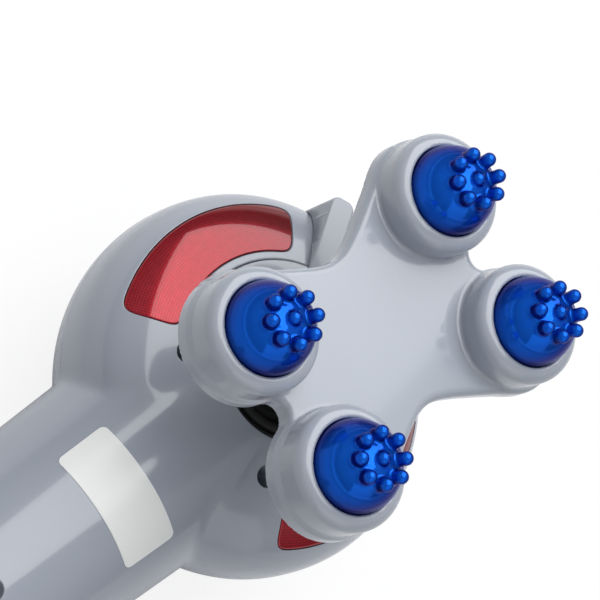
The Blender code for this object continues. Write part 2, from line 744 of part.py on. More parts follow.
def lamps(materials, frame):
    """Boards with small warming lamps, one under each window."""
    top = lamp_board_top()
    near_post, far_post = lamp_post_angles()
    turn = math.degrees(LAMP_POST_INSET / LAMP_ROW_RADIUS)
    start = near_post - turn
    span = far_post + turn - start
    board = sector(LAMP_BOARD_INNER_RADIUS, LAMP_BOARD_OUTER_RADIUS, start, start + span,
                   top - LAMP_BOARD_THICKNESS, top)
    bulbs = []
    shoulder = top + LAMP_HEIGHT - LAMP_RADIUS
    foot = top - LAMP_BOARD_THICKNESS / 2
    for index in range(LAMP_COUNT):
        centre = polar(LAMP_ROW_RADIUS, start + span * (index + 1) / (LAMP_COUNT + 1))
        tip = list(reversed(arc((0.0, shoulder), LAMP_RADIUS, 0, 90, 3)))
        tip[0] = (0.0, shoulder + LAMP_RADIUS)
        bulb = tip + [(LAMP_RADIUS, foot), (0.0, foot)]
        bulbs.append(turned(bulb, SMALL_SEGMENTS, Matrix.Translation(centre)))
    left = fuse(board, *bulbs)
    right = mirrored(left)
    piece('warming_lamps_left', left, materials['lamp'], frame)
    piece('warming_lamps_right', right, materials['lamp'], frame)


def release_ring(materials, frame):
    """Ring inside the opening that the thumb tab turns."""
    outer = OPENING_RADIUS - GAP
    flange_top = OPENING_LIP_BOTTOM - GAP
    flange_bottom = flange_top - RING_FLANGE_THICKNESS
    profile = [(outer - RING_WALL, RING_TOP), (outer, RING_TOP), (outer, flange_top),
               (RING_FLANGE_RADIUS, flange_top), (RING_FLANGE_RADIUS, flange_bottom),
               (outer - RING_WALL, flange_bottom)]
    return piece('release_ring', turned(profile, MIDDLE_SEGMENTS), materials['black'], frame)


def tab_clearance():
    """Space under the tab: the pocket's floor, then the face with a running gap."""
    steps = 8
    inner = SHOE_OUTER_RADIUS - GAP
    floor = POCKET_FLOOR + 2 * GAP
    profile = [(0.0, floor), (inner, floor)]
    for step in range(steps + 1):
        share = math.sin(math.pi / 2 * step / steps)
        radius = inner + (HEAD_RADIUS - inner) * share
        profile.append((radius + RUNNING_GAP * share, face_height(radius) + RUNNING_GAP))
    profile += [(HEAD_RADIUS + RUNNING_GAP, 0.0), (0.0, 0.0)]
    return turned(profile, HEAD_SEGMENTS)


def release_lever(materials, frame):
    """Curved shoe flush in its pocket, with the thumb tab that reaches over the rim."""
    steps = 5
    inner = OPENING_RADIUS
    radii = [inner + (SHOE_OUTER_RADIUS - inner) * step / steps for step in range(steps + 1)]
    profile = [(radius, face_height(radius) + SHOE_PROUD) for radius in radii]
    profile += [(SHOE_OUTER_RADIUS, POCKET_FLOOR + GAP), (inner, POCKET_FLOOR + GAP)]
    wedge = sector(inner / 2, HEAD_RADIUS, SHOE_START_DEG, SHOE_END_DEG, 0.0,
                   FACE_RISE + CUT_OVERRUN)
    shoe = keep(turned(profile, HEAD_SEGMENTS), wedge)
    half = TAB_WIDTH / 2
    root = SHOE_OUTER_RADIUS - WALL
    corners = [(root, -half), (TAB_REACH, -half), (TAB_REACH, half), (root, half)]
    outline = [corners[0]] + rounded(corners, TAB_ROUND)[4:12] + [corners[3]]
    turn = Matrix.Rotation(math.radians(TAB_CENTRE_DEG), 4, 'Z')
    tab = prism(outline, TAB_BOTTOM, TAB_TOP, turn)
    lever = fuse(shoe, cut(tab, tab_clearance()))
    return piece('release_lever', lever, materials['plate'], frame)


def rubber_boot(materials, frame):
    """Folded rubber skirt between the casing and the post."""
    ring_bottom = OPENING_LIP_BOTTOM - GAP - RING_FLANGE_THICKNESS
    flange_top = ring_bottom - GAP
    outer = OPENING_RADIUS - GAP - RING_WALL - GAP
    lip = POST_RADIUS + GAP
    middle = (outer + lip) / 2
    bottom = flange_top - BOOT_FLANGE_THICKNESS
    wall = BOOT_WALL
    lip_top = BOOT_CREST + wall
    lip_foot = BOOT_CREST - wall
    fold_foot = BOOT_VALLEY - wall
    profile = [(RING_FLANGE_RADIUS, flange_top), (outer, flange_top), (outer, BOOT_CREST - wall),
               (outer - wall, BOOT_CREST), (outer - 2 * wall, BOOT_CREST),
               (middle + wall, BOOT_VALLEY), (middle - wall, BOOT_VALLEY),
               (lip + 2 * wall, lip_top), (lip, lip_top), (lip, lip_foot), (lip + wall, lip_foot),
               (middle - 2 * wall, fold_foot), (middle + 2 * wall, fold_foot),
               (outer - 2 * wall, BOOT_CREST - 2 * wall), (outer - wall, bottom),
               (RING_FLANGE_RADIUS, bottom)]
    return piece('rubber_boot', turned(profile, MIDDLE_SEGMENTS), materials['rubber'], frame)


def suspension(materials, frame):
    """Retainer under the boot, its screws, and the rubber bushes that hold the carrier."""
    top = retainer_height()
    bottom = top - RETAINER_THICKNESS
    ring = tube(RETAINER_BORE, RETAINER_RADIUS, bottom, top, MIDDLE_SEGMENTS)
    holes = []
    screws = []
    for degrees in pillar_places():
        centre = polar(PILLAR_PITCH_RADIUS, degrees)
        holes.append(rod(SCREW_SHANK_RADIUS + GAP, bottom - GAP, top + GAP, centre[:2]))
        tip = top + RETAINER_SCREW_GRIP
        profile = [(0.0, tip), (SCREW_SHANK_RADIUS, tip), (SCREW_SHANK_RADIUS, bottom - GAP),
                   (SCREW_HEAD_RADIUS, bottom - GAP), (SCREW_HEAD_RADIUS, bottom - GAP - SCREW_HEAD_HEIGHT),
                   (0.0, bottom - GAP - SCREW_HEAD_HEIGHT)]
        screws.append(turned(profile, SMALL_SEGMENTS, Matrix.Translation(centre)))
    holes += head_well_room(bottom - GAP, top + GAP)
    piece('boot_retainer', cut(ring, *holes), materials['black'], frame)
    numbered('retainer_screw', screws, materials['steel'], frame)
    bushes = []
    for degrees in pillar_places(180 / PILLAR_COUNT):
        centre = polar(CARRIER_FLANGE_RADIUS - BUSH_RADIUS, degrees)[:2]
        bushes.append(rod(BUSH_RADIUS, CARRIER_TOP + GAP, bottom - GAP, centre, ROUND_SEGMENTS))
    numbered('rubber_bush', bushes, materials['rubber'], frame)


def motor_carrier(materials, frame):
    """Cup that holds the motor, with a flange for the bushes and the post on top."""
    outer = CARRIER_INNER_RADIUS + CARRIER_WALL
    under = CARRIER_TOP - CARRIER_PLATE
    profile = [(0.0, POST_TOP), (POST_RADIUS, POST_TOP), (POST_RADIUS, CARRIER_TOP),
               (CARRIER_FLANGE_RADIUS, CARRIER_TOP), (CARRIER_FLANGE_RADIUS, under),
               (outer, under), (outer, CARRIER_BOTTOM), (CARRIER_INNER_RADIUS, CARRIER_BOTTOM),
               (CARRIER_INNER_RADIUS, under), (0.0, under)]
    shape = turned(profile, MIDDLE_SEGMENTS)
    bore = rod(POST_BORE_RADIUS, CARRIER_TOP + CARRIER_PLATE, POST_TOP + CUT_OVERRUN)
    room = head_well_room(under - GAP, CARRIER_TOP + GAP)
    return piece('motor_carrier', cut(shape, bore, *room), materials['alloy'], frame)


def motor(materials, frame, rotor):
    """Still parts of the motor, then everything that spins on its shaft."""
    radius = CARRIER_INNER_RADIUS - GAP
    seat = MOTOR_BOTTOM + MOTOR_WALL
    inside = radius - MOTOR_WALL
    collar_bore = BEARING_RADIUS + GAP
    collar_outer = collar_bore + MOTOR_WALL
    collar_top = seat + BEARING_HEIGHT
    profile = [(0.0, MOTOR_BOTTOM), (radius, MOTOR_BOTTOM), (radius, MOTOR_TOP), (inside, MOTOR_TOP),
               (inside, seat), (collar_outer, seat), (collar_outer, collar_top),
               (collar_bore, collar_top), (collar_bore, seat), (0.0, seat)]
    piece('motor_can', turned(profile, MIDDLE_SEGMENTS), materials['steel'], frame)
    outer = inside - GAP
    inner = outer - MAGNET_THICKNESS
    half = MAGNET_SPAN_DEG / 2
    low = collar_top + MAGNET_END_CLEARANCE
    high = MOTOR_TOP - MAGNET_END_CLEARANCE
    magnets = [sector(inner, outer, turn - half, turn + half, low, high) for turn in (0, 180)]
    numbered('field_magnet', magnets, materials['magnet'], frame)
    cap_low = MOTOR_TOP + GAP
    cap_high = cap_low + END_CAP_THICKNESS
    cap = tube(collar_bore, radius, cap_low, cap_high, MIDDLE_SEGMENTS)
    piece('motor_end_cap', cap, materials['black'], frame)
    lower = tube(SHAFT_RADIUS + GAP, BEARING_RADIUS, seat + GAP, collar_top)
    upper = tube(SHAFT_RADIUS + GAP, BEARING_RADIUS, cap_high - BEARING_HEIGHT, cap_high)
    piece('lower_bearing', lower, materials['brass'], frame)
    piece('upper_bearing', upper, materials['brass'], frame)
    spinning_parts(materials, rotor, seat, cap_high)


def spinning_parts(materials, frame, seat, cap_high):
    """Shaft, armature, commutator, fan and eccentric weight."""
    bore = SHAFT_RADIUS + GAP
    commutator_top = cap_high - BEARING_HEIGHT - ROTOR_SPACING
    commutator_bottom = commutator_top - COMMUTATOR_HEIGHT
    armature_top = commutator_bottom - GAP
    piece('armature', tube(bore, ARMATURE_RADIUS, armature_top - ARMATURE_HEIGHT, armature_top),
          materials['copper'], frame)
    piece('commutator', tube(bore, COMMUTATOR_RADIUS, commutator_bottom, commutator_top),
          materials['copper'], frame)
    fan_bottom = cap_high + ROTOR_SPACING
    fan = tube(bore, FAN_RADIUS, fan_bottom, fan_bottom + FAN_DISC, MIDDLE_SEGMENTS)
    blades = [tube(bore - GAP / 3, FAN_HUB_RADIUS, fan_bottom + GAP, fan_bottom + FAN_HEIGHT)]
    half = FAN_BLADE_THICKNESS / 2
    for index in range(FAN_BLADES):
        turn = Matrix.Rotation(math.tau * index / FAN_BLADES, 4, 'Z')
        blades.append(block((FAN_HUB_RADIUS - half, -half, fan_bottom + FAN_DISC / 2),
                            (FAN_RADIUS - half, half, fan_bottom + FAN_HEIGHT - GAP), turn))
    piece('cooling_fan', fuse(fan, *blades), materials['fan'], frame)
    weight_bottom = fan_bottom + FAN_HEIGHT + GAP
    weight_top = weight_bottom + WEIGHT_HEIGHT
    weight = fuse(sector(0.0, WEIGHT_RADIUS, 90, 270, weight_bottom, weight_top),
                  rod(WEIGHT_HUB_RADIUS, weight_bottom, weight_top, segments=ROUND_SEGMENTS))
    weight = cut(weight, rod(bore, weight_bottom - GAP, weight_top + GAP))
    piece('eccentric_weight', weight, materials['steel'], frame)
    shaft = rod(SHAFT_RADIUS, seat + GAP, weight_top)
    piece('motor_shaft', shaft, materials['steel'], frame)


def brush_gear(materials, frame):
    """Ring under the end cap, with two brushes that reach in to the commutator."""
    top = MOTOR_TOP
    bottom = top - BRUSH_HEIGHT
    half = BRUSH_WIDTH / 2
    start = COMMUTATOR_RADIUS + RUNNING_GAP
    outer = CARRIER_INNER_RADIUS - MOTOR_WALL - 2 * GAP
    ring = tube(outer - BRUSH_RING_WIDTH, outer, top - BRUSH_RING_THICKNESS, top, MIDDLE_SEGMENTS)
    middle = outer - BRUSH_RING_WIDTH / 2
    one = block((-half, start, bottom), (half, middle, top - GAP))
    other = block((-half, -middle, bottom), (half, -start, top - GAP))
    piece('brush_gear', fuse(ring, one, other), materials['black'], frame)


def plate_outline(inset, steps):
    """Cross-shaped outline: four cup arcs joined by hollow waists, moved in by inset."""
    radius = CUP_RADIUS - inset
    long_radius = LONG_WAIST_RADIUS + inset
    short_radius = SHORT_WAIST_RADIUS + inset
    long_rise = math.sqrt((radius + long_radius) ** 2 - CUP_PITCH_X ** 2)
    short_rise = math.sqrt((radius + short_radius) ** 2 - CUP_PITCH_Y ** 2)
    long_deg = math.degrees(math.atan2(long_rise, CUP_PITCH_X))
    short_deg = math.degrees(math.atan2(CUP_PITCH_Y, short_rise))
    points = []
    for turn in (0, 180):
        side = 1 if turn == 0 else -1
        right_cup = (side * CUP_PITCH_X, side * CUP_PITCH_Y)
        left_cup = (-side * CUP_PITCH_X, side * CUP_PITCH_Y)
        points += arc(right_cup, radius, turn - short_deg, turn + 180 - long_deg, steps)[:-1]
        waist = (0.0, side * (CUP_PITCH_Y + long_rise))
        points += arc(waist, long_radius, turn + 360 - long_deg, turn + 180 + long_deg, steps)[:-1]
        points += arc(left_cup, radius, turn + long_deg, turn + 180 + short_deg, steps)[:-1]
        notch = (-side * (CUP_PITCH_X + short_rise), 0.0)
        points += arc(notch, short_radius, turn + short_deg, turn - short_deg, max(steps // 2, 2))[:-1]
    return points


def cup_places():
    """Centres of the four cups, seen from the attachment's middle."""
    return [(-CUP_PITCH_X, -CUP_PITCH_Y), (CUP_PITCH_X, -CUP_PITCH_Y),
            (-CUP_PITCH_X, CUP_PITCH_Y), (CUP_PITCH_X, CUP_PITCH_Y)]


def cup_profile():
    """Outside of a cup from its middle over its rounded crest and its drafted wall to its foot."""
    rim_radius = CUP_RADIUS - CUP_DRAFT
    crest_radius = CUP_BORE_RADIUS + (rim_radius - CUP_BORE_RADIUS) * CUP_CREST_INSET_SHARE
    inner_drop = (crest_radius - CUP_BORE_RADIUS) / 2
    outer_round = rim_radius - crest_radius
    crest = [(CUP_BORE_RADIUS, CUP_CREST - inner_drop), (crest_radius - inner_drop, CUP_CREST)]
    crest += list(reversed(arc((crest_radius, CUP_CREST - outer_round), outer_round, 0, 90, 3)))
    foot_centre = (CUP_RADIUS + CUP_FOOT_ROUND, PLATE_TOP + CUP_FOOT_ROUND)
    foot = arc(foot_centre, CUP_FOOT_ROUND, 180, 270, 2)
    base = PLATE_TOP - PLATE_WALL
    middle = [(0.0, CUP_FLOOR), (CUP_BORE_RADIUS, CUP_FLOOR)]
    return middle + crest + foot + [(foot[-1][0], base), (0.0, base)]


def attachment_place():
    return Matrix.Translation((PLATE_SHIFT_X, 0, 0))


def attachment_shell(materials, frame):
    """Top of the attachment: the cross-shaped plate with its four cups."""
    shape = bmesh.new()
    outline = plate_outline(0.0, OUTLINE_STEPS)
    base = shape.faces.new([shape.verts.new((x, y, PLATE_BOTTOM)) for x, y in outline])
    raised = bmesh.ops.extrude_face_region(shape, geom=[base])
    moved = [item for item in raised['geom'] if isinstance(item, bmesh.types.BMVert)]
    bmesh.ops.translate(shape, vec=(0, 0, PLATE_TOP - PLATE_BOTTOM), verts=moved)
    rim = [edge for edge in shape.edges if all(vert in moved for vert in edge.verts)]
    bmesh.ops.bevel(shape, geom=rim, offset=PLATE_EDGE_ROUND, segments=2, affect='EDGES', profile=0.5)
    slab = solid(shape)
    profile = cup_profile()
    cups = [turned(profile, CUP_SEGMENTS, Matrix.Translation((*place, 0))) for place in cup_places()]
    tall = prism(plate_outline(GAP / 10, OUTLINE_STEPS), PLATE_TOP - PLATE_WALL - GAP, CUP_CREST + GAP)
    body = fuse(slab, keep(grouped(*cups), tall))
    hollow = prism(plate_outline(PLATE_WALL, BACK_STEPS), PLATE_BOTTOM - GAP, PLATE_TOP - PLATE_WALL)
    under = CUP_FLOOR - CUP_FLOOR_WALL
    foot = PLATE_BOTTOM + BACK_COVER_THICKNESS + GAP
    pockets = []
    bosses = []
    holes = []
    for centre in cup_places():
        pockets.append(rod(CUP_BORE_RADIUS, PLATE_BOTTOM, under, centre, ROUND_SEGMENTS))
        bosses.append(rod(PIN_BOSS_RADIUS, foot, CUP_FLOOR, centre))
        holes.append(rod(PIN_RADIUS + GAP, PIN_BOTTOM - GAP, CUP_FLOOR + GAP, centre))
    hollow = cut(fuse(hollow, *pockets), *bosses)
    body = cut(body, hollow, *holes)
    body.data.transform(attachment_place())
    return piece('attachment_shell', body, materials['plate'], frame)


def attachment_back(materials, frame):
    """Cover under the plate, the socket collar on it, and the collar's screws."""
    top = PLATE_BOTTOM + BACK_COVER_THICKNESS
    cover = prism(plate_outline(PLATE_WALL + GAP, BACK_STEPS), PLATE_BOTTOM, top)
    place = attachment_place()
    flange_top = PLATE_BOTTOM - GAP
    flange_bottom = flange_top - COLLAR_FLANGE_THICKNESS
    outer = POST_RADIUS + GAP - PLATE_SHIFT_X + COLLAR_WALL
    profile = [(0.0, flange_top), (COLLAR_FLANGE_RADIUS, flange_top),
               (COLLAR_FLANGE_RADIUS, flange_bottom), (outer + COLLAR_BEVEL, flange_bottom),
               (outer, flange_bottom - COLLAR_BEVEL), (outer, COLLAR_BOTTOM + COLLAR_BEVEL),
               (outer - COLLAR_BEVEL, COLLAR_BOTTOM), (0.0, COLLAR_BOTTOM)]
    collar = turned(profile, MIDDLE_SEGMENTS, place)
    bore = rod(POST_RADIUS + GAP, COLLAR_BOTTOM - GAP, flange_top + GAP, segments=MIDDLE_SEGMENTS)
    screws = []
    flange_holes = []
    cover_holes = []
    high = flange_bottom - GAP
    for index in range(COLLAR_SCREW_COUNT):
        centre = polar(COLLAR_SCREW_PITCH, 360 / COLLAR_SCREW_COUNT * index)
        hole = COLLAR_SCREW_RADIUS + GAP
        flange_holes.append(rod(hole, high, flange_top + GAP, centre[:2], transform=place))
        cover_holes.append(rod(hole, flange_top, top + GAP, centre[:2]))
        low = high - COLLAR_SCREW_HEIGHT
        screw_profile = [(0.0, top), (COLLAR_SCREW_RADIUS, top), (COLLAR_SCREW_RADIUS, high),
                         (COLLAR_SCREW_HEAD_RADIUS, high), (COLLAR_SCREW_HEAD_RADIUS, low), (0.0, low)]
        screws.append(turned(screw_profile, SMALL_SEGMENTS, place @ Matrix.Translation(centre)))
    cover = cut(cover, *cover_holes)
    cover.data.transform(place)
    piece('attachment_back', cover, materials['plate'], frame)
    piece('socket_collar', cut(collar, bore, *flange_holes), materials['black'], frame)
    numbered('collar_screw', screws, materials['steel'], frame)


def dome_shape(phase_deg):
    """Hollow dome with a ring of leaning nubs round one upright nub."""
    inner = DOME_RADIUS - DOME_WALL
    drop = DOME_SKIRT_BOTTOM - DOME_CENTRE
    outside = list(reversed(arc((0, 0), DOME_RADIUS, 0, 90, 4)))
    inside = arc((0, 0), inner, 0, 90, 3)
    outside[0] = (0.0, DOME_RADIUS)
    inside[-1] = (0.0, inner)
    dome = turned(outside + [(DOME_RADIUS, drop), (0.0, drop)], DOME_SEGMENTS)
    nubs = []
    nub_root = DOME_RADIUS - DOME_WALL / 2
    for index in range(NUB_COUNT + 1):
        lean = 0.0 if index == NUB_COUNT else math.radians(NUB_LEAN_DEG)
        rise = NUB_CENTRE_RISE if index == NUB_COUNT else NUB_RING_RISE
        reach = 0.0 if index == NUB_COUNT else NUB_RING_RADIUS - NUB_RADIUS / 2
        start = math.sqrt(nub_root ** 2 - reach ** 2) - NUB_RADIUS
        length = rise - start
        cap = list(reversed(arc((0, length - NUB_RADIUS), NUB_RADIUS, 0, 90, 2)))
        cap[0] = (0.0, length)
        nub_profile = cap + [(NUB_RADIUS, 0.0), (0.0, 0.0)]
        turn = math.radians(phase_deg + 360 / NUB_COUNT * index)
        foot = reach - math.tan(lean) * length / 2
        place = (Matrix.Rotation(turn, 4, 'Z') @ Matrix.Translation((foot, 0, start))
                 @ Matrix.Rotation(lean, 4, 'Y'))
        nubs.append(turned(nub_profile, NUB_SEGMENTS, place))
    hollow = turned([(0.0, drop - GAP), (inner, drop - GAP)] + inside, DOME_SEGMENTS)
    return cut(fuse(dome, *nubs), hollow)


def rollers(materials, attachment_frame, roller_frames):
    """Four domes with their base plates, and the pins that they turn on."""
    bore = PIN_RADIUS + GAP
    rim = DOME_RADIUS - DOME_WALL - GAP
    base_top = BASE_BOTTOM + BASE_THICKNESS
    profile = [(bore, BASE_HUB_TOP), (BASE_HUB_RADIUS, BASE_HUB_TOP), (BASE_HUB_RADIUS, base_top),
               (rim, base_top), (rim, BASE_BOTTOM), (bore, BASE_BOTTOM)]
    head = BASE_HUB_TOP + GAP
    head_top = head + PIN_HEAD_HEIGHT
    pin_profile = [(0.0, head_top), (PIN_HEAD_RADIUS, head_top), (PIN_HEAD_RADIUS, head),
                   (PIN_RADIUS, head), (PIN_RADIUS, PIN_BOTTOM), (0.0, PIN_BOTTOM)]
    pins = []
    for index, place in enumerate(cup_places()):
        axis = roller_frames[index]
        dome = dome_shape(NUB_PHASES_DEG[index])
        dome.data.transform(Matrix.Translation((0, 0, DOME_CENTRE)))
        piece('roller_dome_%d' % (index + 1), dome, materials['dome'], axis)
        base = turned(profile, DOME_SEGMENTS)
        piece('roller_base_%d' % (index + 1), base, materials['base'], axis)
        stand = attachment_place() @ Matrix.Translation((*place, 0))
        pins.append(turned(pin_profile, SMALL_SEGMENTS, stand))
    numbered('roller_pin', pins, materials['steel'], attachment_frame)


def controls(materials, frame):
    """Control board, potentiometer and dial, and the rocker in its housing."""
    board_top = BOARD_UNDERSIDE + BOARD_THICKNESS
    board = block((BOARD_START_X, -BOARD_HALF_WIDTH, BOARD_UNDERSIDE),
                  (BOARD_END_X, BOARD_HALF_WIDTH, board_top))
    piece('control_board', board, materials['board'], frame)
    height = dial_height()
    side = DIAL_HALF_THICKNESS + RUNNING_GAP
    half = POT_LENGTH / 2
    pot = block((DIAL_X - half, side, height - POT_DROP),
                (DIAL_X + half, side + POT_WIDTH, BOARD_UNDERSIDE - GAP))
    lay = Matrix.Translation((DIAL_X, 0, height)) @ Matrix.Rotation(-math.pi / 2, 4, 'X')
    bore = rod(DIAL_AXLE_RADIUS + GAP, 0.0, side + DIAL_AXLE_LENGTH + GAP,
               segments=ROUND_SEGMENTS, transform=lay)
    piece('speed_potentiometer', cut(pot, bore), materials['black'], frame)
    outline = []
    for index in range(DIAL_RIB_COUNT * 2):
        radius = DIAL_RADIUS - DIAL_RIB_DEPTH * (index % 2)
        outline.append(polar(radius, 180 / DIAL_RIB_COUNT * index)[:2])
    wheel = prism(outline, -DIAL_HALF_THICKNESS, DIAL_HALF_THICKNESS, lay)
    axle = rod(DIAL_AXLE_RADIUS, 0.0, side + DIAL_AXLE_LENGTH, segments=ROUND_SEGMENTS,
               transform=lay)
    piece('speed_dial', fuse(wheel, axle), materials['black'], frame, (DIAL_X, 0, height))
    rocker_switch(materials, frame)


def rocker_switch(materials, frame):
    """Switch housing snapped into the back of the handle, and its rocker."""
    face = switch_face()
    half_length = SWITCH_LENGTH / 2
    half_width = SWITCH_WIDTH / 2
    inside = BOARD_UNDERSIDE - GAP
    housing = block((SWITCH_X - half_length, -half_width, face),
                    (SWITCH_X + half_length, half_width, inside))
    pocket_length = half_length - SWITCH_WALL
    pocket_width = half_width - SWITCH_WALL
    floor = face + ROCKER_PIVOT_DEPTH * 2
    pocket = block((SWITCH_X - pocket_length, -pocket_width, face - GAP),
                   (SWITCH_X + pocket_length, pocket_width, floor))
    piece('switch_housing', cut(housing, pocket), materials['black'], frame)
    pivot = face + ROCKER_PIVOT_DEPTH
    reach = pocket_length - RUNNING_GAP * 2
    width = pocket_width - RUNNING_GAP
    swing = math.radians(ROCKER_SWING_DEG)
    outer = face - ROCKER_BULGE - pivot
    wing = reach * math.cos(swing) - abs(outer) * math.sin(swing)
    root = ROCKER_PIVOT_DEPTH * 2 / 3
    outline = [(-wing, outer), (0.0, outer + ROCKER_BULGE), (wing, outer), (reach - root / 2, 0.0),
               (root, root / 2), (-root, root / 2), (-reach + root / 2, 0.0)]
    stand = Matrix.Translation((SWITCH_X, 0, pivot)) @ Matrix.Rotation(math.pi / 2, 4, 'X')
    rocker = prism(outline, -width, width, stand)
    piece('mode_rocker', rocker, materials['black'], frame, (SWITCH_X, 0, pivot))


def cord_inlet(materials, frame):
    """Rubber bush in the end of the handle, where the cord goes in."""
    wall = WALL + GAP
    outside = INLET_FLANGE_THICKNESS + GAP
    inner_rim = INLET_NECK_RADIUS + (INLET_FLANGE_RADIUS - INLET_NECK_RADIUS) / 2
    profile = [(INLET_BORE_RADIUS, outside), (INLET_NECK_RADIUS, outside),
               (INLET_FLANGE_RADIUS, outside / 2),
               (INLET_FLANGE_RADIUS, GAP), (INLET_NECK_RADIUS, GAP), (INLET_NECK_RADIUS, -wall),
               (inner_rim, -wall), (inner_rim, -wall - INLET_FLANGE_THICKNESS),
               (INLET_BORE_RADIUS, -wall - INLET_FLANGE_THICKNESS)]
    bush = turned(profile, ROUND_SEGMENTS, HANDLE_TURN.inverted() @ inlet_place())
    return piece('cord_inlet_bush', bush, materials['rubber'], frame)


def bare_label(materials, frame):
    """Blank label that follows the curve of the neck."""
    steps = 12
    trims = ((LABEL_START_X, LABEL_CORNER), (LABEL_START_X + LABEL_CORNER, 0.0),
             (LABEL_END_X - LABEL_CORNER, 0.0), (LABEL_END_X, LABEL_CORNER))
    shape = bmesh.new()
    layers = []
    for lift in (GAP, GAP + LABEL_THICKNESS):
        rows = []
        for x, trim in trims:
            radius = handle_radius(x) + lift
            half = math.radians(LABEL_HALF_SPAN_DEG) - trim / radius
            row = []
            for step in range(steps + 1):
                angle = half * (2 * step / steps - 1)
                row.append(shape.verts.new((x, radius * math.sin(angle), radius * math.cos(angle))))
            rows.append(row)
        layers.append(rows)
    rims = []
    for rows in layers:
        for near, far in zip(rows, rows[1:]):
            for step in range(steps):
                shape.faces.new((near[step], near[step + 1], far[step + 1], far[step]))
        side = [row[-1] for row in rows[1:]]
        other_side = [row[0] for row in rows[-2:0:-1]]
        rims.append(rows[0] + side + rows[-1][-2::-1] + other_side)
    lower, upper = rims
    for index in range(len(lower)):
        before = index - 1
        shape.faces.new((lower[before], lower[index], upper[index], upper[before]))
    return piece('bare_label', solid(shape), materials['label'], frame)


def empty(name, parent=None, location=(0, 0, 0)):
    """Named frame that pieces hang in."""
    made = bpy.data.objects.new(name, None)
    bpy.context.scene.collection.objects.link(made)
    made.parent = parent
    made.location = location
    return made


def build():
    for item in list(bpy.data.objects):
        bpy.data.objects.remove(item)
    materials = {
        'shell': finish('grey_gloss_plastic', (0.30, 0.32, 0.36), 0.18),
        'plate': finish('pale_grey_gloss_plastic', (0.52, 0.54, 0.58), 0.20),
        'dome': finish('blue_clear_plastic', (0.01, 0.06, 0.60), 0.08, transmission=0.4),
        'base': finish('blue_plastic', (0.01, 0.04, 0.35), 0.30),
        'window': finish('red_clear_plastic', (0.45, 0.02, 0.03), 0.15, transmission=0.3),
        'rubber': finish('black_rubber', (0.012, 0.012, 0.013), 0.60),
        'black': finish('black_plastic', (0.020, 0.020, 0.022), 0.40),
        'steel': finish('steel', (0.55, 0.55, 0.55), 0.30, metallic=1.0),
        'alloy': finish('cast_alloy', (0.60, 0.61, 0.62), 0.40, metallic=1.0),
        'brass': finish('brass', (0.75, 0.55, 0.22), 0.30, metallic=1.0),
        'copper': finish('copper_winding', (0.70, 0.30, 0.15), 0.40, metallic=1.0),
        'magnet': finish('ferrite', (0.08, 0.08, 0.09), 0.70),
        'fan': finish('white_nylon', (0.75, 0.75, 0.72), 0.45),
        'board': finish('green_circuit_board', (0.03, 0.20, 0.08), 0.50),
        'lamp': finish('red_lamp_glass', (0.60, 0.05, 0.04), 0.10),
        'label': finish('white_label', (0.85, 0.85, 0.83), 0.35),
    }
    head = empty('head_centre', location=(0, 0, REST_HEIGHT))
    handle = empty('handle_axis', head)
    handle.rotation_euler = (0, HANDLE_TILT, 0)
    rotor = empty('rotor_axis', head)
    attachment = empty('attachment_slide', head)
    roller_frames = []
    for index, (x, y) in enumerate(cup_places()):
        name = 'roller_axis_%d' % (index + 1)
        roller_frames.append(empty(name, attachment, (x + PLATE_SHIFT_X, y, 0)))
    front_casing(materials, head)
    back_casing(materials, head)
    windows(materials, head)
    lamps(materials, head)
    numbered('casing_screw', at_wells(casing_screw), materials['steel'], head)
    release_ring(materials, head)
    release_lever(materials, head)
    rubber_boot(materials, head)
    suspension(materials, head)
    motor_carrier(materials, head)
    motor(materials, head, rotor)
    brush_gear(materials, head)
    attachment_shell(materials, attachment)
    attachment_back(materials, attachment)
    rollers(materials, attachment, roller_frames)
    controls(materials, handle)
    cord_inlet(materials, handle)
    bare_label(materials, handle)


build()
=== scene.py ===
# %% [markdown]
# # A vibration massager with four nubbed domes
# The CAD model gives every piece its place and its joint. This lesson dresses it: fine surfaces
# go over the faceted solids, and each finish is built from shader nodes.

# %% Load the frame
import math

import bmesh
import bpy
import numpy as np
from mathutils import Matrix, Vector
from mathutils.geometry import delaunay_2d_cdt
from mathutils.kdtree import KDTree


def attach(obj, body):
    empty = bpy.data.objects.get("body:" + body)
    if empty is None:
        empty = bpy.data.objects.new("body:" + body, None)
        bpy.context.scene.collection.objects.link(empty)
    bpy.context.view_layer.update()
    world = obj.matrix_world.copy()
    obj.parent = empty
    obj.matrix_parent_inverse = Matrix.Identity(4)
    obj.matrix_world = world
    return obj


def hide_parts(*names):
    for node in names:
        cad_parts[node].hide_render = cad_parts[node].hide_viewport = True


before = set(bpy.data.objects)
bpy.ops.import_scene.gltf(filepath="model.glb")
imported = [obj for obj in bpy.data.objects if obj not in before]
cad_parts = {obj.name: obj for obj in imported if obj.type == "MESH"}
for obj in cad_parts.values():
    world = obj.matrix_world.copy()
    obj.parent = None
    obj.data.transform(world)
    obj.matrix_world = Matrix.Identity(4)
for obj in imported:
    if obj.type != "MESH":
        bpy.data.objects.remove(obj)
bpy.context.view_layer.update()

# %% [markdown]
# ## The sizes that the surfaces share
# All sizes are in metres. The head's centre is 50 mm over the table, and the handle falls from
# it at a small angle, so most shapes are easiest to write around that centre.

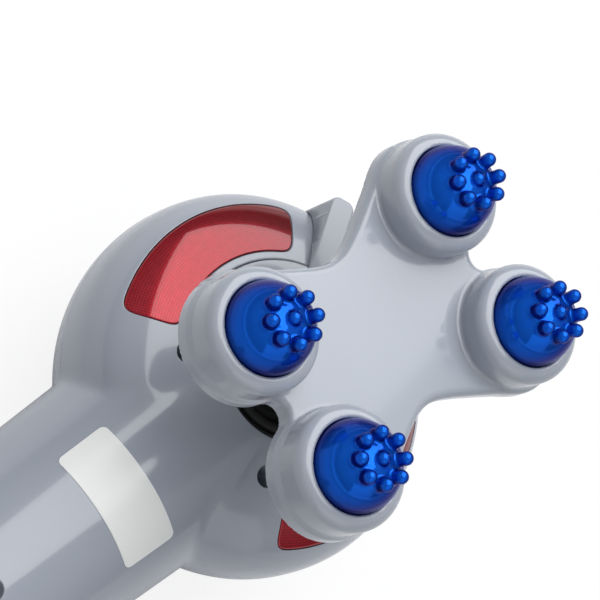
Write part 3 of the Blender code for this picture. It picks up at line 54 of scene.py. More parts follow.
# %% Sizes
MM = 0.001
REST = 0.050
STRAIGHT_END = 0.318
TILT = math.atan(0.0265 / STRAIGHT_END)
HEAD_R = 0.0620
FACE_RISE = 0.0317
FACE_POWER = 3
BACK_POWER = 1.85
REST_FLAT_R = 0.024
BACK_DEPTH = REST / (1 - (REST_FLAT_R / HEAD_R) ** BACK_POWER) ** (1 / BACK_POWER)
HANDLE_ROOT = 0.0368
HANDLE_END = 0.0235
HANDLE_TAPER = (HANDLE_ROOT - HANDLE_END) / STRAIGHT_END
HANDLE_LENGTH = 0.330
END_ROUND = 0.012
OPENING = 0.0232
PLATE_SHIFT = -0.0025
DOME_CENTRE = 0.0930
CUP_X = 0.0405
CUP_Y = 0.0234
CUP_R = 0.0187
CUP_FOOT = 0.0196
CUP_BORE = 0.0140
CUP_TOP = 0.0932
PLATE_TOP = 0.0820
PLATE_BOTTOM = 0.0750
SHORT_WAIST = 0.0048
CUPS = [(-CUP_X, -CUP_Y), (CUP_X, -CUP_Y), (-CUP_X, CUP_Y), (CUP_X, CUP_Y)]
WELL_X = 0.0265
WELL_Y = 0.0228
HEAD = Matrix.Translation((0, 0, REST))
HANDLE = HEAD @ Matrix.Rotation(TILT, 4, 'Y')
ATTACHED = HEAD @ Matrix.Translation((PLATE_SHIFT, 0, 0))
print("handle tilt in degrees:", round(math.degrees(TILT), 2))

# %% [markdown]
# ## Camera
# A camera that stands far off and uses a long lens keeps the shapes nearly parallel, as a
# product photograph does. It looks down on the face from over the end of the handle. The lens is
# known in pixels, and the sensor's width turns that into millimetres.

# %% Camera
FOCAL_PIXELS = 2483.98
IMAGE_PIXELS = 600
camera_data = bpy.data.cameras.new("camera")
camera = bpy.data.objects.new("camera", camera_data)
bpy.context.scene.collection.objects.link(camera)
camera_data.sensor_width = 36
camera_data.lens = camera_data.sensor_width * FOCAL_PIXELS / IMAGE_PIXELS
camera_data.clip_end = 20
camera_right = Vector((-0.66795, 0.52928, 0.52318))
camera_up = Vector((-0.50219, -0.83937, 0.20801))
camera_back = camera_right.cross(camera_up)
turn = Matrix((camera_right, camera_up, camera_back)).transposed().to_4x4()
camera.matrix_world = Matrix.Translation((0.412325, -0.111990, 0.677574 + REST)) @ turn
bpy.context.scene.camera = camera
bpy.context.scene.view_settings.view_transform = 'Standard'
print("lens in mm:", round(camera_data.lens, 1))

# %% [markdown]
# ## Helpers for shader nodes
# The backdrop, the floor and every finish are small nets of nodes. Each helper adds one node and
# links it, so that later cells read like short formulas.

# %% Node helpers
def put(tree, socket, value):
    """A link or a plain value into a socket."""
    if hasattr(value, "is_output"):
        tree.links.new(value, socket)
    elif isinstance(value, tuple) and len(value) == 3:
        socket.default_value = (*value, 1)
    else:
        socket.default_value = value


def maths(tree, operation, first, second=0.0, clamp=False):
    """Math node whose inputs are sockets or plain numbers."""
    node = tree.nodes.new("ShaderNodeMath")
    node.operation = operation
    node.use_clamp = clamp
    put(tree, node.inputs[0], first)
    put(tree, node.inputs[1], second)
    return node.outputs[0]


def ramp(tree, value, low, high, first=0.0, last=1.0):
    """Value that runs from first to last while another runs from low to high."""
    node = tree.nodes.new("ShaderNodeMapRange")
    for label, number in zip(("From Min", "From Max", "To Min", "To Max"), (low, high, first, last)):
        node.inputs[label].default_value = number
    tree.links.new(value, node.inputs["Value"])
    return node.outputs["Result"]


def mixed(tree, share, first, second):
    """Shader between two shaders."""
    node = tree.nodes.new("ShaderNodeMixShader")
    tree.links.new(share, node.inputs["Fac"])
    tree.links.new(first.outputs[0], node.inputs[1])
    tree.links.new(second.outputs[0], node.inputs[2])
    return node.outputs[0]


print("node helpers ready")


# %% [markdown]
# ## Light, floor and background
# Gloss plastic shows its surroundings, so the lights are broad panels, like the softboxes of a
# product studio. One panel hangs overhead, and its reflection draws the bright areas with sharp
# edges on the head, the windows and the domes. A weaker one stands beside the handle.

# %% Lights
def softbox(name, place, target, width, height, strength):
    """Rectangular panel of light that faces a target."""
    light = bpy.data.lights.new(name, 'AREA')
    light.shape = 'RECTANGLE'
    light.size = width
    light.size_y = height
    light.energy = strength * width * height
    panel = bpy.data.objects.new(name, light)
    bpy.context.scene.collection.objects.link(panel)
    panel.location = place
    panel.rotation_euler = (Vector(target) - Vector(place)).to_track_quat('-Z', 'Y').to_euler()


softbox("overhead_panel", (-0.427, -0.33, 1.349), (0.25, -0.042, 0.532), 1.365, 2.0, 8.5)
softbox("handle_side_panel", (0.75, 1.0, 0.75), (0.05, 0, 0.05), 1.2, 1.2, 2.0)
print("lights:", len(bpy.data.lights))

# %% [markdown]
# The camera sees a white world, and so do reflections that leave the object close to the floor's
# level. All other light from the world is a soft bluish white that grows towards the zenith. The
# floor glows white to the camera through four fifths of its paint, so it keeps a soft shadow.

# %% Background
world = bpy.data.worlds.new("studio")
bpy.context.scene.world = world
world.use_nodes = True
tree = world.node_tree
tree.nodes.clear()
path = tree.nodes.new("ShaderNodeLightPath").outputs
height = tree.nodes.new("ShaderNodeSeparateXYZ")
tree.links.new(tree.nodes.new("ShaderNodeTexCoord").outputs["Generated"], height.inputs[0])
mirrored = maths(tree, 'MAXIMUM', path["Is Glossy Ray"], path["Is Transmission Ray"])
mirrored_low = maths(tree, 'MULTIPLY', mirrored, ramp(tree, height.outputs["Z"], 0.14, 0.02))
seen = maths(tree, 'MAXIMUM', path["Is Camera Ray"], mirrored_low)
ambient = tree.nodes.new("ShaderNodeBackground")
ambient.inputs["Color"].default_value = (0.93, 0.96, 1.0, 1)
put(tree, ambient.inputs["Strength"], ramp(tree, height.outputs["Z"], 0.10, 0.70, 0.12, 0.50))
white = tree.nodes.new("ShaderNodeBackground")
white.inputs["Strength"].default_value = 1.0
out = tree.nodes.new("ShaderNodeOutputWorld")
tree.links.new(mixed(tree, seen, ambient, white), out.inputs["Surface"])

# %% Floor
floor_mesh = bpy.data.meshes.new("floor")
floor_mesh.from_pydata([(-4, -4, 0), (4, -4, 0), (4, 4, 0), (-4, 4, 0)], [], [(0, 1, 2, 3)])
floor = bpy.data.objects.new("floor", floor_mesh)
floor.location = (0, 0, -0.0002)
bpy.context.scene.collection.objects.link(floor)
floor_paint = bpy.data.materials.new("pale_floor")
floor_paint.use_nodes = True
tree = floor_paint.node_tree
board = tree.nodes["Principled BSDF"]
board.inputs["Base Color"].default_value = (0.70, 0.70, 0.71, 1)
board.inputs["Roughness"].default_value = 0.85
glow = tree.nodes.new("ShaderNodeEmission")
glow.inputs["Strength"].default_value = 1.06
path = tree.nodes.new("ShaderNodeLightPath").outputs
share = maths(tree, 'MULTIPLY', path["Is Camera Ray"], 0.80)
tree.links.new(mixed(tree, share, board, glow), tree.nodes["Material Output"].inputs["Surface"])
floor_mesh.materials.append(floor_paint)
print("floor and background are white to the camera")


# %% [markdown]
# ## Effects that several finishes share
# Moulded plastic is never one flat colour. It has a very fine texture from the mould, faint
# clouds where it is handled, and hairline scratches. Painted images could carry these, but noise
# read at the object's own coordinates needs no unwrapping and shows no seam. Each effect is a
# shader node group with its own inputs, so every material can use it at its own strength.

# %% Helpers for groups and patterns
def new_group(name, inputs, outputs):
    """Empty shader node group with named sockets, its input node and its output node."""
    group = bpy.data.node_groups.new(name, 'ShaderNodeTree')
    for label, kind, value in inputs:
        socket = group.interface.new_socket(label, in_out='INPUT', socket_type=kind)
        socket.default_value = value
    for label, kind in outputs:
        group.interface.new_socket(label, in_out='OUTPUT', socket_type=kind)
    return group, group.nodes.new("NodeGroupInput"), group.nodes.new("NodeGroupOutput")


def noise(tree, vector, scale, detail, roughness=0.5):
    """Noise texture read at a position."""
    node = tree.nodes.new("ShaderNodeTexNoise")
    node.inputs["Scale"].default_value = scale
    node.inputs["Detail"].default_value = detail
    node.inputs["Roughness"].default_value = roughness
    tree.links.new(vector, node.inputs["Vector"])
    return node.outputs["Fac"]


def tint(tree, factor, first, second):
    """Colour between two colours."""
    node = tree.nodes.new("ShaderNodeMix")
    node.data_type = 'RGBA'
    put(tree, node.inputs[0], factor)
    put(tree, node.inputs[6], first)
    put(tree, node.inputs[7], second)
    return node.outputs[2]


# %% Handled surface: clouds of touch, hairline scratches and dust specks
touched, inlet, outlet = new_group(
    "handled_surface",
    [("Position", 'NodeSocketVector', (0, 0, 0)), ("Clouds", 'NodeSocketFloat', 0.5),
     ("Scratches", 'NodeSocketFloat', 0.3), ("Base Roughness", 'NodeSocketFloat', 0.2)],
    [("Roughness", 'NodeSocketFloat'), ("Shade", 'NodeSocketFloat')])
spot = inlet.outputs["Position"]
clouds = ramp(touched, noise(touched, spot, 45, 4), 0.35, 0.75)
clouds = maths(touched, 'MULTIPLY', clouds, inlet.outputs["Clouds"])
stretch = touched.nodes.new("ShaderNodeMapping")
stretch.inputs["Scale"].default_value = (2200, 160, 160)
stretch.inputs["Rotation"].default_value = (0.3, 0.2, 0.9)
touched.links.new(spot, stretch.inputs["Vector"])
hairs = ramp(touched, noise(touched, stretch.outputs[0], 1.0, 2), 0.68, 0.76)
hairs = maths(touched, 'MULTIPLY', hairs, ramp(touched, noise(touched, spot, 90, 1), 0.5, 0.65))
hairs = maths(touched, 'MULTIPLY', hairs, inlet.outputs["Scratches"])
specks = ramp(touched, noise(touched, spot, 900, 2), 0.72, 0.80)
rough = maths(touched, 'ADD', inlet.outputs["Base Roughness"], maths(touched, 'MULTIPLY', clouds, 0.08))
rough = maths(touched, 'ADD', rough, maths(touched, 'MULTIPLY', hairs, 0.25), clamp=True)
touched.links.new(rough, outlet.inputs["Roughness"])
shade = maths(touched, 'MULTIPLY', clouds, 0.5)
shade = maths(touched, 'ADD', shade, maths(touched, 'MULTIPLY', specks, 0.25))
touched.links.new(shade, outlet.inputs["Shade"])

# %% Mould grain: the fine texture and slow ripple of a moulded skin
grain, inlet, outlet = new_group(
    "mould_grain",
    [("Position", 'NodeSocketVector', (0, 0, 0)), ("Fine", 'NodeSocketFloat', 0.3),
     ("Ripple", 'NodeSocketFloat', 0.3)],
    [("Height", 'NodeSocketFloat')])
fine = noise(grain, inlet.outputs["Position"], 2600, 2)
ripple = noise(grain, inlet.outputs["Position"], 120, 1)
fine = maths(grain, 'MULTIPLY', fine, inlet.outputs["Fine"])
ripple = maths(grain, 'MULTIPLY', ripple, inlet.outputs["Ripple"])
grain.links.new(maths(grain, 'ADD', fine, ripple), outlet.inputs["Height"])
print("groups:", touched.name, grain.name)


# %% [markdown]
# ## Finishes
# One function sets up a moulded finish: a base colour that the touch clouds shift a little, a
# roughness that follows them, and a bump from the mould grain. What sets the finishes apart is
# the colours and strengths that each one passes in. A finish with a pattern passes no colours,
# and its own cell builds them.

# %% Finish builder
def moulded(name, colours, roughness, clouds=0.5, scratches=0.3, fine=0.3, ripple=0.2,
            depth=0.00002, metallic=0.0, coat=0.0):
    """Material with a touched base colour, roughness and mould grain."""
    material = bpy.data.materials.new(name)
    material.use_nodes = True
    tree = material.node_tree
    shader = tree.nodes["Principled BSDF"]
    place = tree.nodes.new("ShaderNodeTexCoord").outputs["Object"]
    touch = tree.nodes.new("ShaderNodeGroup")
    touch.node_tree = touched
    touch.inputs["Clouds"].default_value = clouds
    touch.inputs["Scratches"].default_value = scratches
    touch.inputs["Base Roughness"].default_value = roughness
    skin = tree.nodes.new("ShaderNodeGroup")
    skin.node_tree = grain
    skin.inputs["Fine"].default_value = fine
    skin.inputs["Ripple"].default_value = ripple
    tree.links.new(place, touch.inputs["Position"])
    tree.links.new(place, skin.inputs["Position"])
    if colours:
        tree.links.new(tint(tree, touch.outputs["Shade"], *colours), shader.inputs["Base Color"])
    tree.links.new(touch.outputs["Roughness"], shader.inputs["Roughness"])
    bump = tree.nodes.new("ShaderNodeBump")
    bump.inputs["Distance"].default_value = depth
    tree.links.new(skin.outputs["Height"], bump.inputs["Height"])
    tree.links.new(bump.outputs[0], shader.inputs["Normal"])
    shader.inputs["Metallic"].default_value = metallic
    shader.inputs["Coat Weight"].default_value = coat
    shader.inputs["Coat Roughness"].default_value = 0.05
    return material


def nodes_of(material):
    """The node tree, the Principled shader, the position socket and the bump of a material."""
    tree = material.node_tree
    place = next(node for node in tree.nodes if node.type == 'TEX_COORD').outputs["Object"]
    bump = next(node for node in tree.nodes if node.type == 'BUMP')
    return tree, tree.nodes["Principled BSDF"], place, bump


# %% Plastics, rubber and metals
shell_grey = moulded("shell_grey", ((0.335, 0.360, 0.412), (0.315, 0.340, 0.388)), 0.16, coat=0.6)
plate_grey = moulded("plate_grey", ((0.360, 0.388, 0.436), (0.342, 0.368, 0.414)), 0.17, coat=0.6)
satin_black = moulded("satin_black", ((0.014, 0.014, 0.015), (0.03, 0.03, 0.032)), 0.38, fine=0.8)
soft_rubber = moulded("soft_rubber", ((0.006, 0.006, 0.006), (0.015, 0.015, 0.015)), 0.62,
                      clouds=0.9, scratches=0.0, fine=1.0, depth=0.00006)
steel = moulded("plated_steel", ((0.58, 0.58, 0.57), (0.45, 0.45, 0.44)), 0.28, metallic=1.0)
cast_alloy = moulded("cast_alloy", ((0.60, 0.61, 0.62), (0.46, 0.47, 0.48)), 0.42, fine=1.0,
                     ripple=1.0, depth=0.00010, metallic=1.0)
bearing_brass = moulded("bearing_brass", ((0.72, 0.52, 0.22), (0.50, 0.36, 0.15)), 0.34, metallic=1.0)
ferrite = moulded("ferrite", ((0.06, 0.06, 0.065), (0.10, 0.10, 0.10)), 0.70, fine=1.0)
nylon = moulded("white_nylon", ((0.72, 0.72, 0.69), (0.64, 0.63, 0.60)), 0.45)
lamp_red = moulded("lamp_glass", ((0.55, 0.05, 0.04), (0.40, 0.03, 0.03)), 0.10, coat=1.0)
base_blue = moulded("base_blue", ((0.012, 0.05, 0.42), (0.01, 0.035, 0.32)), 0.30)
film_white = moulded("film_white", ((0.86, 0.86, 0.84), (0.80, 0.80, 0.77)), 0.30, clouds=0.4,
                     scratches=0.2, fine=0.1, ripple=0.3)
print("plain finishes made:", len(bpy.data.materials))

# %% [markdown]
# The winding and the circuit board carry a pattern that shows what they are: close turns of
# wire round the armature, and tracks under a green coating. Modelling each wire would cost
# thousands of faces inside a closed casing, so a wave texture and a brick texture draw them.

# %% Winding and circuit board
winding = moulded("copper_winding", None, 0.32, metallic=1.0)
tree, shader, place, _ = nodes_of(winding)
wire = tree.nodes.new("ShaderNodeTexWave")
wire.bands_direction = 'Z'
wire.inputs["Scale"].default_value = 450
wire.inputs["Distortion"].default_value = 0.4
tree.links.new(place, wire.inputs["Vector"])
turns = tint(tree, wire.outputs["Fac"], (0.30, 0.10, 0.04), (0.72, 0.32, 0.14))
tree.links.new(turns, shader.inputs["Base Color"])

circuit = moulded("green_circuit", None, 0.40, coat=0.4)
tree, shader, place, _ = nodes_of(circuit)
tracks = tree.nodes.new("ShaderNodeTexBrick")
tracks.inputs["Scale"].default_value = 130
tracks.inputs["Mortar Size"].default_value = 0.08
tracks.inputs["Color1"].default_value = (0.02, 0.16, 0.06, 1)
tracks.inputs["Color2"].default_value = (0.02, 0.19, 0.07, 1)
tracks.inputs["Mortar"].default_value = (0.10, 0.34, 0.13, 1)
tree.links.new(place, tracks.inputs["Vector"])
tree.links.new(tracks.outputs["Color"], shader.inputs["Base Color"])
print("patterned:", winding.name, circuit.name)

# %% [markdown]
# The domes are clear blue plastic, hollow and thick-walled. Seen through its whole depth the plastic
# looks bright, and at the rim nearly black. A Layer Weight mask paints this into the colour: a painted
# glow, bright blue, where the skin faces the camera, and painted shade, nearly black, at the rim. Some
# transmission, a little scattering under the skin and blue reflections add to the inner glow.

# %% Dome plastic
dome_blue = moulded("dome_blue", None, 0.07, clouds=0.3, scratches=0.4, fine=0.1, ripple=0.5,
                    depth=0.00004, metallic=0.35)
tree, shader, *_ = nodes_of(dome_blue)
facing = tree.nodes.new("ShaderNodeLayerWeight")
facing.inputs["Blend"].default_value = 0.40
# Painted light: rim and depth give a painted glow where the skin faces the camera and painted shade,
# near black, towards its rim
rim = ramp(tree, facing.outputs["Facing"], 0.08, 0.55)
depth = tint(tree, rim, (0.010, 0.16, 0.86), (0.0008, 0.006, 0.16))
tree.links.new(depth, shader.inputs["Base Color"])
shader.inputs["Transmission Weight"].default_value = 0.40
shader.inputs["IOR"].default_value = 1.35
shader.inputs["Specular Tint"].default_value = (0.10, 0.25, 1.0, 1)
shader.inputs["Subsurface Weight"].default_value = 0.30
shader.inputs["Subsurface Radius"].default_value = (0.1, 0.4, 1.0)
shader.inputs["Subsurface Scale"].default_value = 0.006
print("dome plastic:", dome_blue.name)

# %% [markdown]
# The windows are clear red lenses with a fine square grid moulded into their backs. The grid
# runs round the head and outwards from it, so its coordinates are an angle and a radius. The
# end away from the handle has painted shade: its red is darkened there, because less light comes back
# from behind.

# %% Window plastic
CELLS_PER_RADIAN = 58.0
CELLS_PER_METRE = 1250.0
window_red = moulded("window_red", None, 0.14, coat=0.95)
tree, shader, place, bump = nodes_of(window_red)
xyz = tree.nodes.new("ShaderNodeSeparateXYZ")
tree.links.new(place, xyz.inputs[0])
angle = maths(tree, 'ARCTAN2', xyz.outputs["Y"], xyz.outputs["X"])
square = maths(tree, 'ADD', maths(tree, 'POWER', xyz.outputs["X"], 2.0),
               maths(tree, 'POWER', xyz.outputs["Y"], 2.0))
radius = maths(tree, 'SQRT', square)
round_cell = maths(tree, 'PINGPONG', maths(tree, 'MULTIPLY', angle, CELLS_PER_RADIAN), 0.5)
out_cell = maths(tree, 'PINGPONG', maths(tree, 'MULTIPLY', radius, CELLS_PER_METRE), 0.5)
cell = maths(tree, 'MULTIPLY', ramp(tree, round_cell, 0.02, 0.22), ramp(tree, out_cell, 0.02, 0.22))
mottle = ramp(tree, noise(tree, place, 500, 3), 0.3, 0.7)
lit = tint(tree, mottle, (0.38, 0.002, 0.012), (0.50, 0.006, 0.022))
grid = tint(tree, cell, (0.18, 0.001, 0.006), lit)
# Painted shade: this ramp darkens the red towards the end away from the handle
painted_shade_ramp = ramp(tree, xyz.outputs["X"], -0.060, 0.030)
grid = tint(tree, painted_shade_ramp, (0.10, 0.001, 0.003), grid)
tree.links.new(grid, shader.inputs["Base Color"])
relief = maths(tree, 'ADD', cell, maths(tree, 'MULTIPLY', mottle, 0.4))
tree.links.new(relief, bump.inputs["Height"])
bump.inputs["Distance"].default_value = 0.000006
shader.inputs["Metallic"].default_value = 0.42
shader.inputs["Specular Tint"].default_value = (1.0, 0.1, 0.12, 1)
print("materials:", len(bpy.data.materials))


# %% [markdown]
# ## Tools for shapes
# Four ways of making a mesh cover every piece. A lathe turns a profile round an axis. A loft
# joins rings of points. A slab fills an outline and follows a curved surface. A settled skin
# starts from a rough even mesh and moves each point onto a smooth mathematical surface.

# %% Placing a finished mesh
def show(name, mesh, material, body, slot, *nodes, normals=None, sharp=38):
    """Object from a mesh, riding on a body in place of CAD nodes."""
    mesh.materials.clear()
    mesh.materials.append(material)
    mesh.shade_smooth()
    mesh.set_sharp_from_angle(angle=math.radians(sharp))
    if normals is not None:
        mesh.normals_split_custom_set_from_vertices(normals)
    made = bpy.data.objects.new(name, mesh)
    bpy.context.scene.collection.objects.link(made)
    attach(made, body)
    if nodes:
        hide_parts(*nodes)


def mesh_from(shape, name, place=None):
    """Mesh from a bmesh, with its faces turned out."""
    if place is not None:
        bmesh.ops.transform(shape, matrix=place, verts=shape.verts)
    bmesh.ops.recalc_face_normals(shape, faces=shape.faces)
    mesh = bpy.data.meshes.new(name)
    shape.to_mesh(mesh)
    shape.free()
    return mesh


def evaluated(holder):
    """Mesh of an object after its modifiers."""
    bpy.context.view_layer.update()
    graph = bpy.context.evaluated_depsgraph_get()
    return bpy.data.meshes.new_from_object(holder.evaluated_get(graph))


def carved(mesh, *cutters):
    """Mesh with other meshes cut out of it."""
    holders = [bpy.data.objects.new("carving", item) for item in (mesh, *cutters)]
    for holder in holders:
        bpy.context.scene.collection.objects.link(holder)
    for tool in holders[1:]:
        cut = holders[0].modifiers.new("cut", 'BOOLEAN')
        cut.object = tool
    result = evaluated(holders[0])
    for holder in holders:
        bpy.data.objects.remove(holder)
    return result


def joined(*meshes):
    """One mesh that holds several."""
    shape = bmesh.new()
    for mesh in meshes:
        shape.from_mesh(mesh)
    made = bpy.data.meshes.new("joined")
    shape.to_mesh(made)
    shape.free()
    return made


# %% [markdown]
# The post, the boot, the collar and the bush are round, so each is a profile of radius and height
# in millimetres, spun round Z. No moulded corner is quite sharp, so a profile's corners can be
# softened first, each with a short curve. A Screw modifier could turn the profile too, but the
# spin of bmesh gives a finished mesh at once, ready to be placed and joined.

# %% Lathe
def softened(profile, radius, steps=3):
    """Profile with its corners rounded, apart from its two ends."""
    points = [profile[0]]
    for before, corner, after in zip(profile, profile[1:], profile[2:]):
        here = Vector(corner)
        back = Vector(before) - here
        ahead = Vector(after) - here
        reach = min(radius, back.length * 0.45, ahead.length * 0.45)
        start = here + back.normalized() * reach
        end = here + ahead.normalized() * reach
        for step in range(steps + 1):
            share = step / steps
            points.append(tuple(start.lerp(here, share).lerp(here.lerp(end, share), share)))
    points.append(profile[-1])
    return points


def lathe(profile, place=None, segments=96, corner=0.0):
    """Solid or ring turned round Z from (radius, height) points in mm."""
    points = [(radius * MM, height * MM) for radius, height in profile]
    if corner:
        points = softened(points, corner * MM)
    shape = bmesh.new()
    chain = [shape.verts.new((radius, 0, height)) for radius, height in points]
    edges = [shape.edges.new(pair) for pair in zip(chain, chain[1:])]
    if points[0][0] > 0 or points[-1][0] > 0:
        edges.append(shape.edges.new((chain[-1], chain[0])))
    bmesh.ops.spin(shape, geom=edges, cent=(0, 0, 0), axis=(0, 0, 1), angle=math.tau,
                   steps=segments, use_merge=True, use_duplicate=False)
    bmesh.ops.remove_doubles(shape, verts=shape.verts, dist=1e-6)
    return mesh_from(shape, "turned", place)


# %% [markdown]
# Windows, slots and plates start as closed outlines seen from above. These helpers draw arcs,
# test which points lie inside, move an outline outwards, and space its points evenly. Spacing
# them evenly also eases the corners, as a cutter with a small radius would.

# %% Outlines
def arc_points(centre, radius, start, end, count):
    """Points of an arc, angles in degrees."""
    angles = np.radians(np.linspace(start, end, count))
    return np.c_[centre[0] + radius * np.cos(angles), centre[1] + radius * np.sin(angles)]


def inside(points, loop):
    """Which points lie inside a closed loop."""
    x, y = points[:, 0][:, None], points[:, 1][:, None]
    a, b = loop, np.roll(loop, -1, axis=0)
    rises = (a[:, 1] > y) != (b[:, 1] > y)
    slope = (b[:, 0] - a[:, 0]) / np.where(b[:, 1] == a[:, 1], 1e-12, b[:, 1] - a[:, 1])
    crossing = a[:, 0] + (y - a[:, 1]) * slope
    return (rises & (x < crossing)).sum(axis=1) % 2 == 1


def grown(loop, amount):
    """Closed loop moved outwards by an amount along its own normals."""
    tangent = np.roll(loop, -1, axis=0) - np.roll(loop, 1, axis=0)
    normal = np.c_[tangent[:, 1], -tangent[:, 0]]
    normal /= np.linalg.norm(normal, axis=1)[:, None]
    area = (loop[:, 0] * np.roll(loop[:, 1], -1) - np.roll(loop[:, 0], -1) * loop[:, 1]).sum()
    return loop + normal * amount * np.sign(area)


def evened(loop, spacing, corner=0.0):
    """Closed loop with evenly spaced points, its corners eased by a radius."""
    for _ in range(2):
        closed = np.vstack([loop, loop[:1]])
        run = np.r_[0, np.cumsum(np.linalg.norm(np.diff(closed, axis=0), axis=1))]
        count = max(int(run[-1] / spacing), 12)
        at = np.linspace(0, run[-1], count, endpoint=False)
        loop = np.c_[np.interp(at, run, closed[:, 0]), np.interp(at, run, closed[:, 1])]
        for _ in range(int((corner / spacing) ** 2 * 1.5)):
            loop = (np.roll(loop, 1, axis=0) + 2 * loop + np.roll(loop, -1, axis=0)) / 4
    return loop


def box_loop(centre, half_length, half_width, corner, spacing=0.0005):
    """Rounded rectangle."""
    x, y = half_length - corner, half_width - corner
    corners = [arc_points((x, y), corner, 0, 90, 7), arc_points((-x, y), corner, 90, 180, 7),
               arc_points((-x, -y), corner, 180, 270, 7), arc_points((x, -y), corner, 270, 360, 7)]
    return evened(np.vstack(corners) + centre, spacing)


# %% [markdown]
# A loft joins outlines of equal count at different heights. A loaf is a loft with its upper and
# lower edges rounded, which suits the dial's wheel, the rocker and the cover. A bevelled cube
# would come near, but it can't follow a ribbed or a waisted outline.

# %% Loft
def loft(rings, place=None):
    """Solid through rings of equal count, each a loop and its height, closed at both ends."""
    shape = bmesh.new()
    layers = [[shape.verts.new((x, y, z)) for x, y in loop] for loop, z in rings]
    for lower, upper in zip(layers, layers[1:]):
        for step in range(len(lower)):
            shape.faces.new((lower[step - 1], lower[step], upper[step], upper[step - 1]))
    shape.faces.new(layers[0][::-1])
    shape.faces.new(layers[-1])
    return mesh_from(shape, "loft", place)


def loaf(loop, low, high, edge, place=None):
    """Solid over a loop between two heights, its edges rounded."""
    rings = []
    for turn in np.linspace(0, math.pi / 2, 5):
        rings.append((grown(loop, edge * (math.sin(turn) - 1)), low + edge * (1 - math.cos(turn))))
    for turn in np.linspace(0, math.pi / 2, 5):
        rings.append((grown(loop, edge * (math.cos(turn) - 1)), high - edge * (1 - math.sin(turn))))
    return loft(rings, place)


# %% [markdown]
# A curved skin with holes needs triangles that keep the points of every hole. A constrained
# Delaunay fill does that: the rings go in as edges, spare points go in where there is room, and
# the triangles inside a hole are left out.

# %% Filling outlines with triangles
def finder_of(points):
    """Search tree over flat points."""
    tree = KDTree(max(len(points), 1))
    for index, point in enumerate(points):
        tree.insert((point[0], point[1], 0), index)
    tree.balance()
    return tree


def found(tree, loop):
    """Indices of the points of a loop in a search tree."""
    return [tree.find((x, y, 0))[1] for x, y in loop]


def fill(rings, spare, room, keep_in=None, holes=()):
    """Triangles over rings and spare points, inside one loop and outside the holes."""
    points = []
    edges = []
    for ring in rings:
        start, count = len(points), len(ring)
        points += [Vector(point) for point in ring]
        edges += [(start + index, start + (index + 1) % count) for index in range(count)]
    near = finder_of(points)
    for point, gap in zip(spare, room):
        if gap == 0 or near.find((point[0], point[1], 0))[2] > gap:
            points.append(Vector(point))
    flat, _, faces, _, _, _ = delaunay_2d_cdt(points, edges, [], 0, 1e-9)
    flat = np.array([tuple(point) for point in flat])
    faces = np.array([face for face in faces if len(face) == 3])
    middles = flat[faces].mean(axis=1)
    wanted = np.ones(len(faces), bool) if keep_in is None else inside(middles, keep_in)
    for hole in holes:
        wanted &= ~inside(middles, hole)
    used, numbers = np.unique(faces[wanted], return_inverse=True)
    return flat[used], numbers.reshape(-1, 3)


# %% [markdown]
# A slab has an outline, and a top and a bottom given as heights over the plan. The lenses and the
# lever's shoe follow the curved face in this way. The top's normals come from its slopes, so its
# reflections stay clean, and its rim sinks in a quarter circle.

# %% Slab
EDGE_STEPS = 3


def quarter_round(edge):
    """Steps along a quarter circle of a radius, as distances from a rim and downwards."""
    turns = [math.pi / 2 * step / EDGE_STEPS for step in range(EDGE_STEPS + 1)]
    return [(edge * (1 - math.cos(turn)), edge * (1 - math.sin(turn))) for turn in turns]


def closed_up(upper_points, lower_points, faces, rim):
    """Bmesh of two matching sheets with a wall between them along the rim."""
    shape = bmesh.new()
    upper = [shape.verts.new(point) for point in upper_points]
    lower = [shape.verts.new(point) for point in lower_points]
    for a, b, c in faces:
        shape.faces.new((upper[a], upper[b], upper[c]))
        shape.faces.new((lower[c], lower[b], lower[a]))
    for here, there in zip(rim, rim[1:] + rim[:1]):
        shape.faces.new((upper[here], lower[here], lower[there], upper[there]))
    return shape


def spots_in(outline, inner, spacing):
    """Points of a square grid over an outline that lie inside an inner loop."""
    low, high = outline.min(axis=0), outline.max(axis=0)
    grid = np.array([(x, y) for x in np.arange(low[0], high[0], spacing)
                     for y in np.arange(low[1], high[1], spacing)])
    return grid[inside(grid, inner)]


def slab(outline, top, bottom, edge, spacing, place=None):
    """Solid over an outline between two height functions, its top edge rounded."""
    steps = quarter_round(edge) if edge else [(0, 0)]
    rings = [grown(outline, -inwards) for inwards, _ in steps]
    spots = spots_in(outline, rings[-1], spacing)
    flat, faces = fill(rings, spots, np.full(len(spots), spacing * 0.6), outline)
    near = finder_of(flat)
    indices = [found(near, ring) for ring in rings]
    heights = top(flat)
    nudge = 0.00005
    slope_x = (top(flat + (nudge, 0)) - top(flat - (nudge, 0))) / (2 * nudge)
    slope_y = (top(flat + (0, nudge)) - top(flat - (0, nudge))) / (2 * nudge)
    normals = np.zeros((2 * len(flat), 3))
    normals[:len(flat)] = unit(np.c_[-slope_x, -slope_y, np.ones(len(flat))])
    for (_, downwards), ring in zip(steps, indices):
        heights[ring] -= downwards
    for ring in indices[:-1] if edge else indices:
        normals[ring] = 0
    shape = closed_up(np.c_[flat, heights], np.c_[flat, bottom(flat)], faces, indices[0])
    return mesh_from(shape, "slab", place), normals


def level(height):
    """Function that gives one height everywhere."""
    return lambda points: np.full(len(points), height)


# %% [markdown]
# The plate flows into its cups, and each dome into its nubs. Such forms are written as fields,
# negative inside and positive outside. A rough solid is remeshed evenly, then every point moves
# along the field's slope until the field is zero there, and the slope gives its normal too.

# %% Settled skin
def smooth_min(a, b, k):
    """Union of two fields, with a fillet about k wide."""
    h = np.clip(0.5 + 0.5 * (b - a) / k, 0, 1)
    return b + (a - b) * h - k * h * (1 - h)


def smooth_max(a, b, k):
    """Overlap of two fields, with an edge rounding about k wide."""
    return -smooth_min(-a, -b, k)


def slope_of(field, points, step=0.00002):
    """Direction in which a field rises at points."""
    slope = np.empty_like(points)
    for axis in range(3):
        shift = np.zeros(3)
        shift[axis] = step
        slope[:, axis] = (field(points + shift) - field(points - shift)) / (2 * step)
    return slope


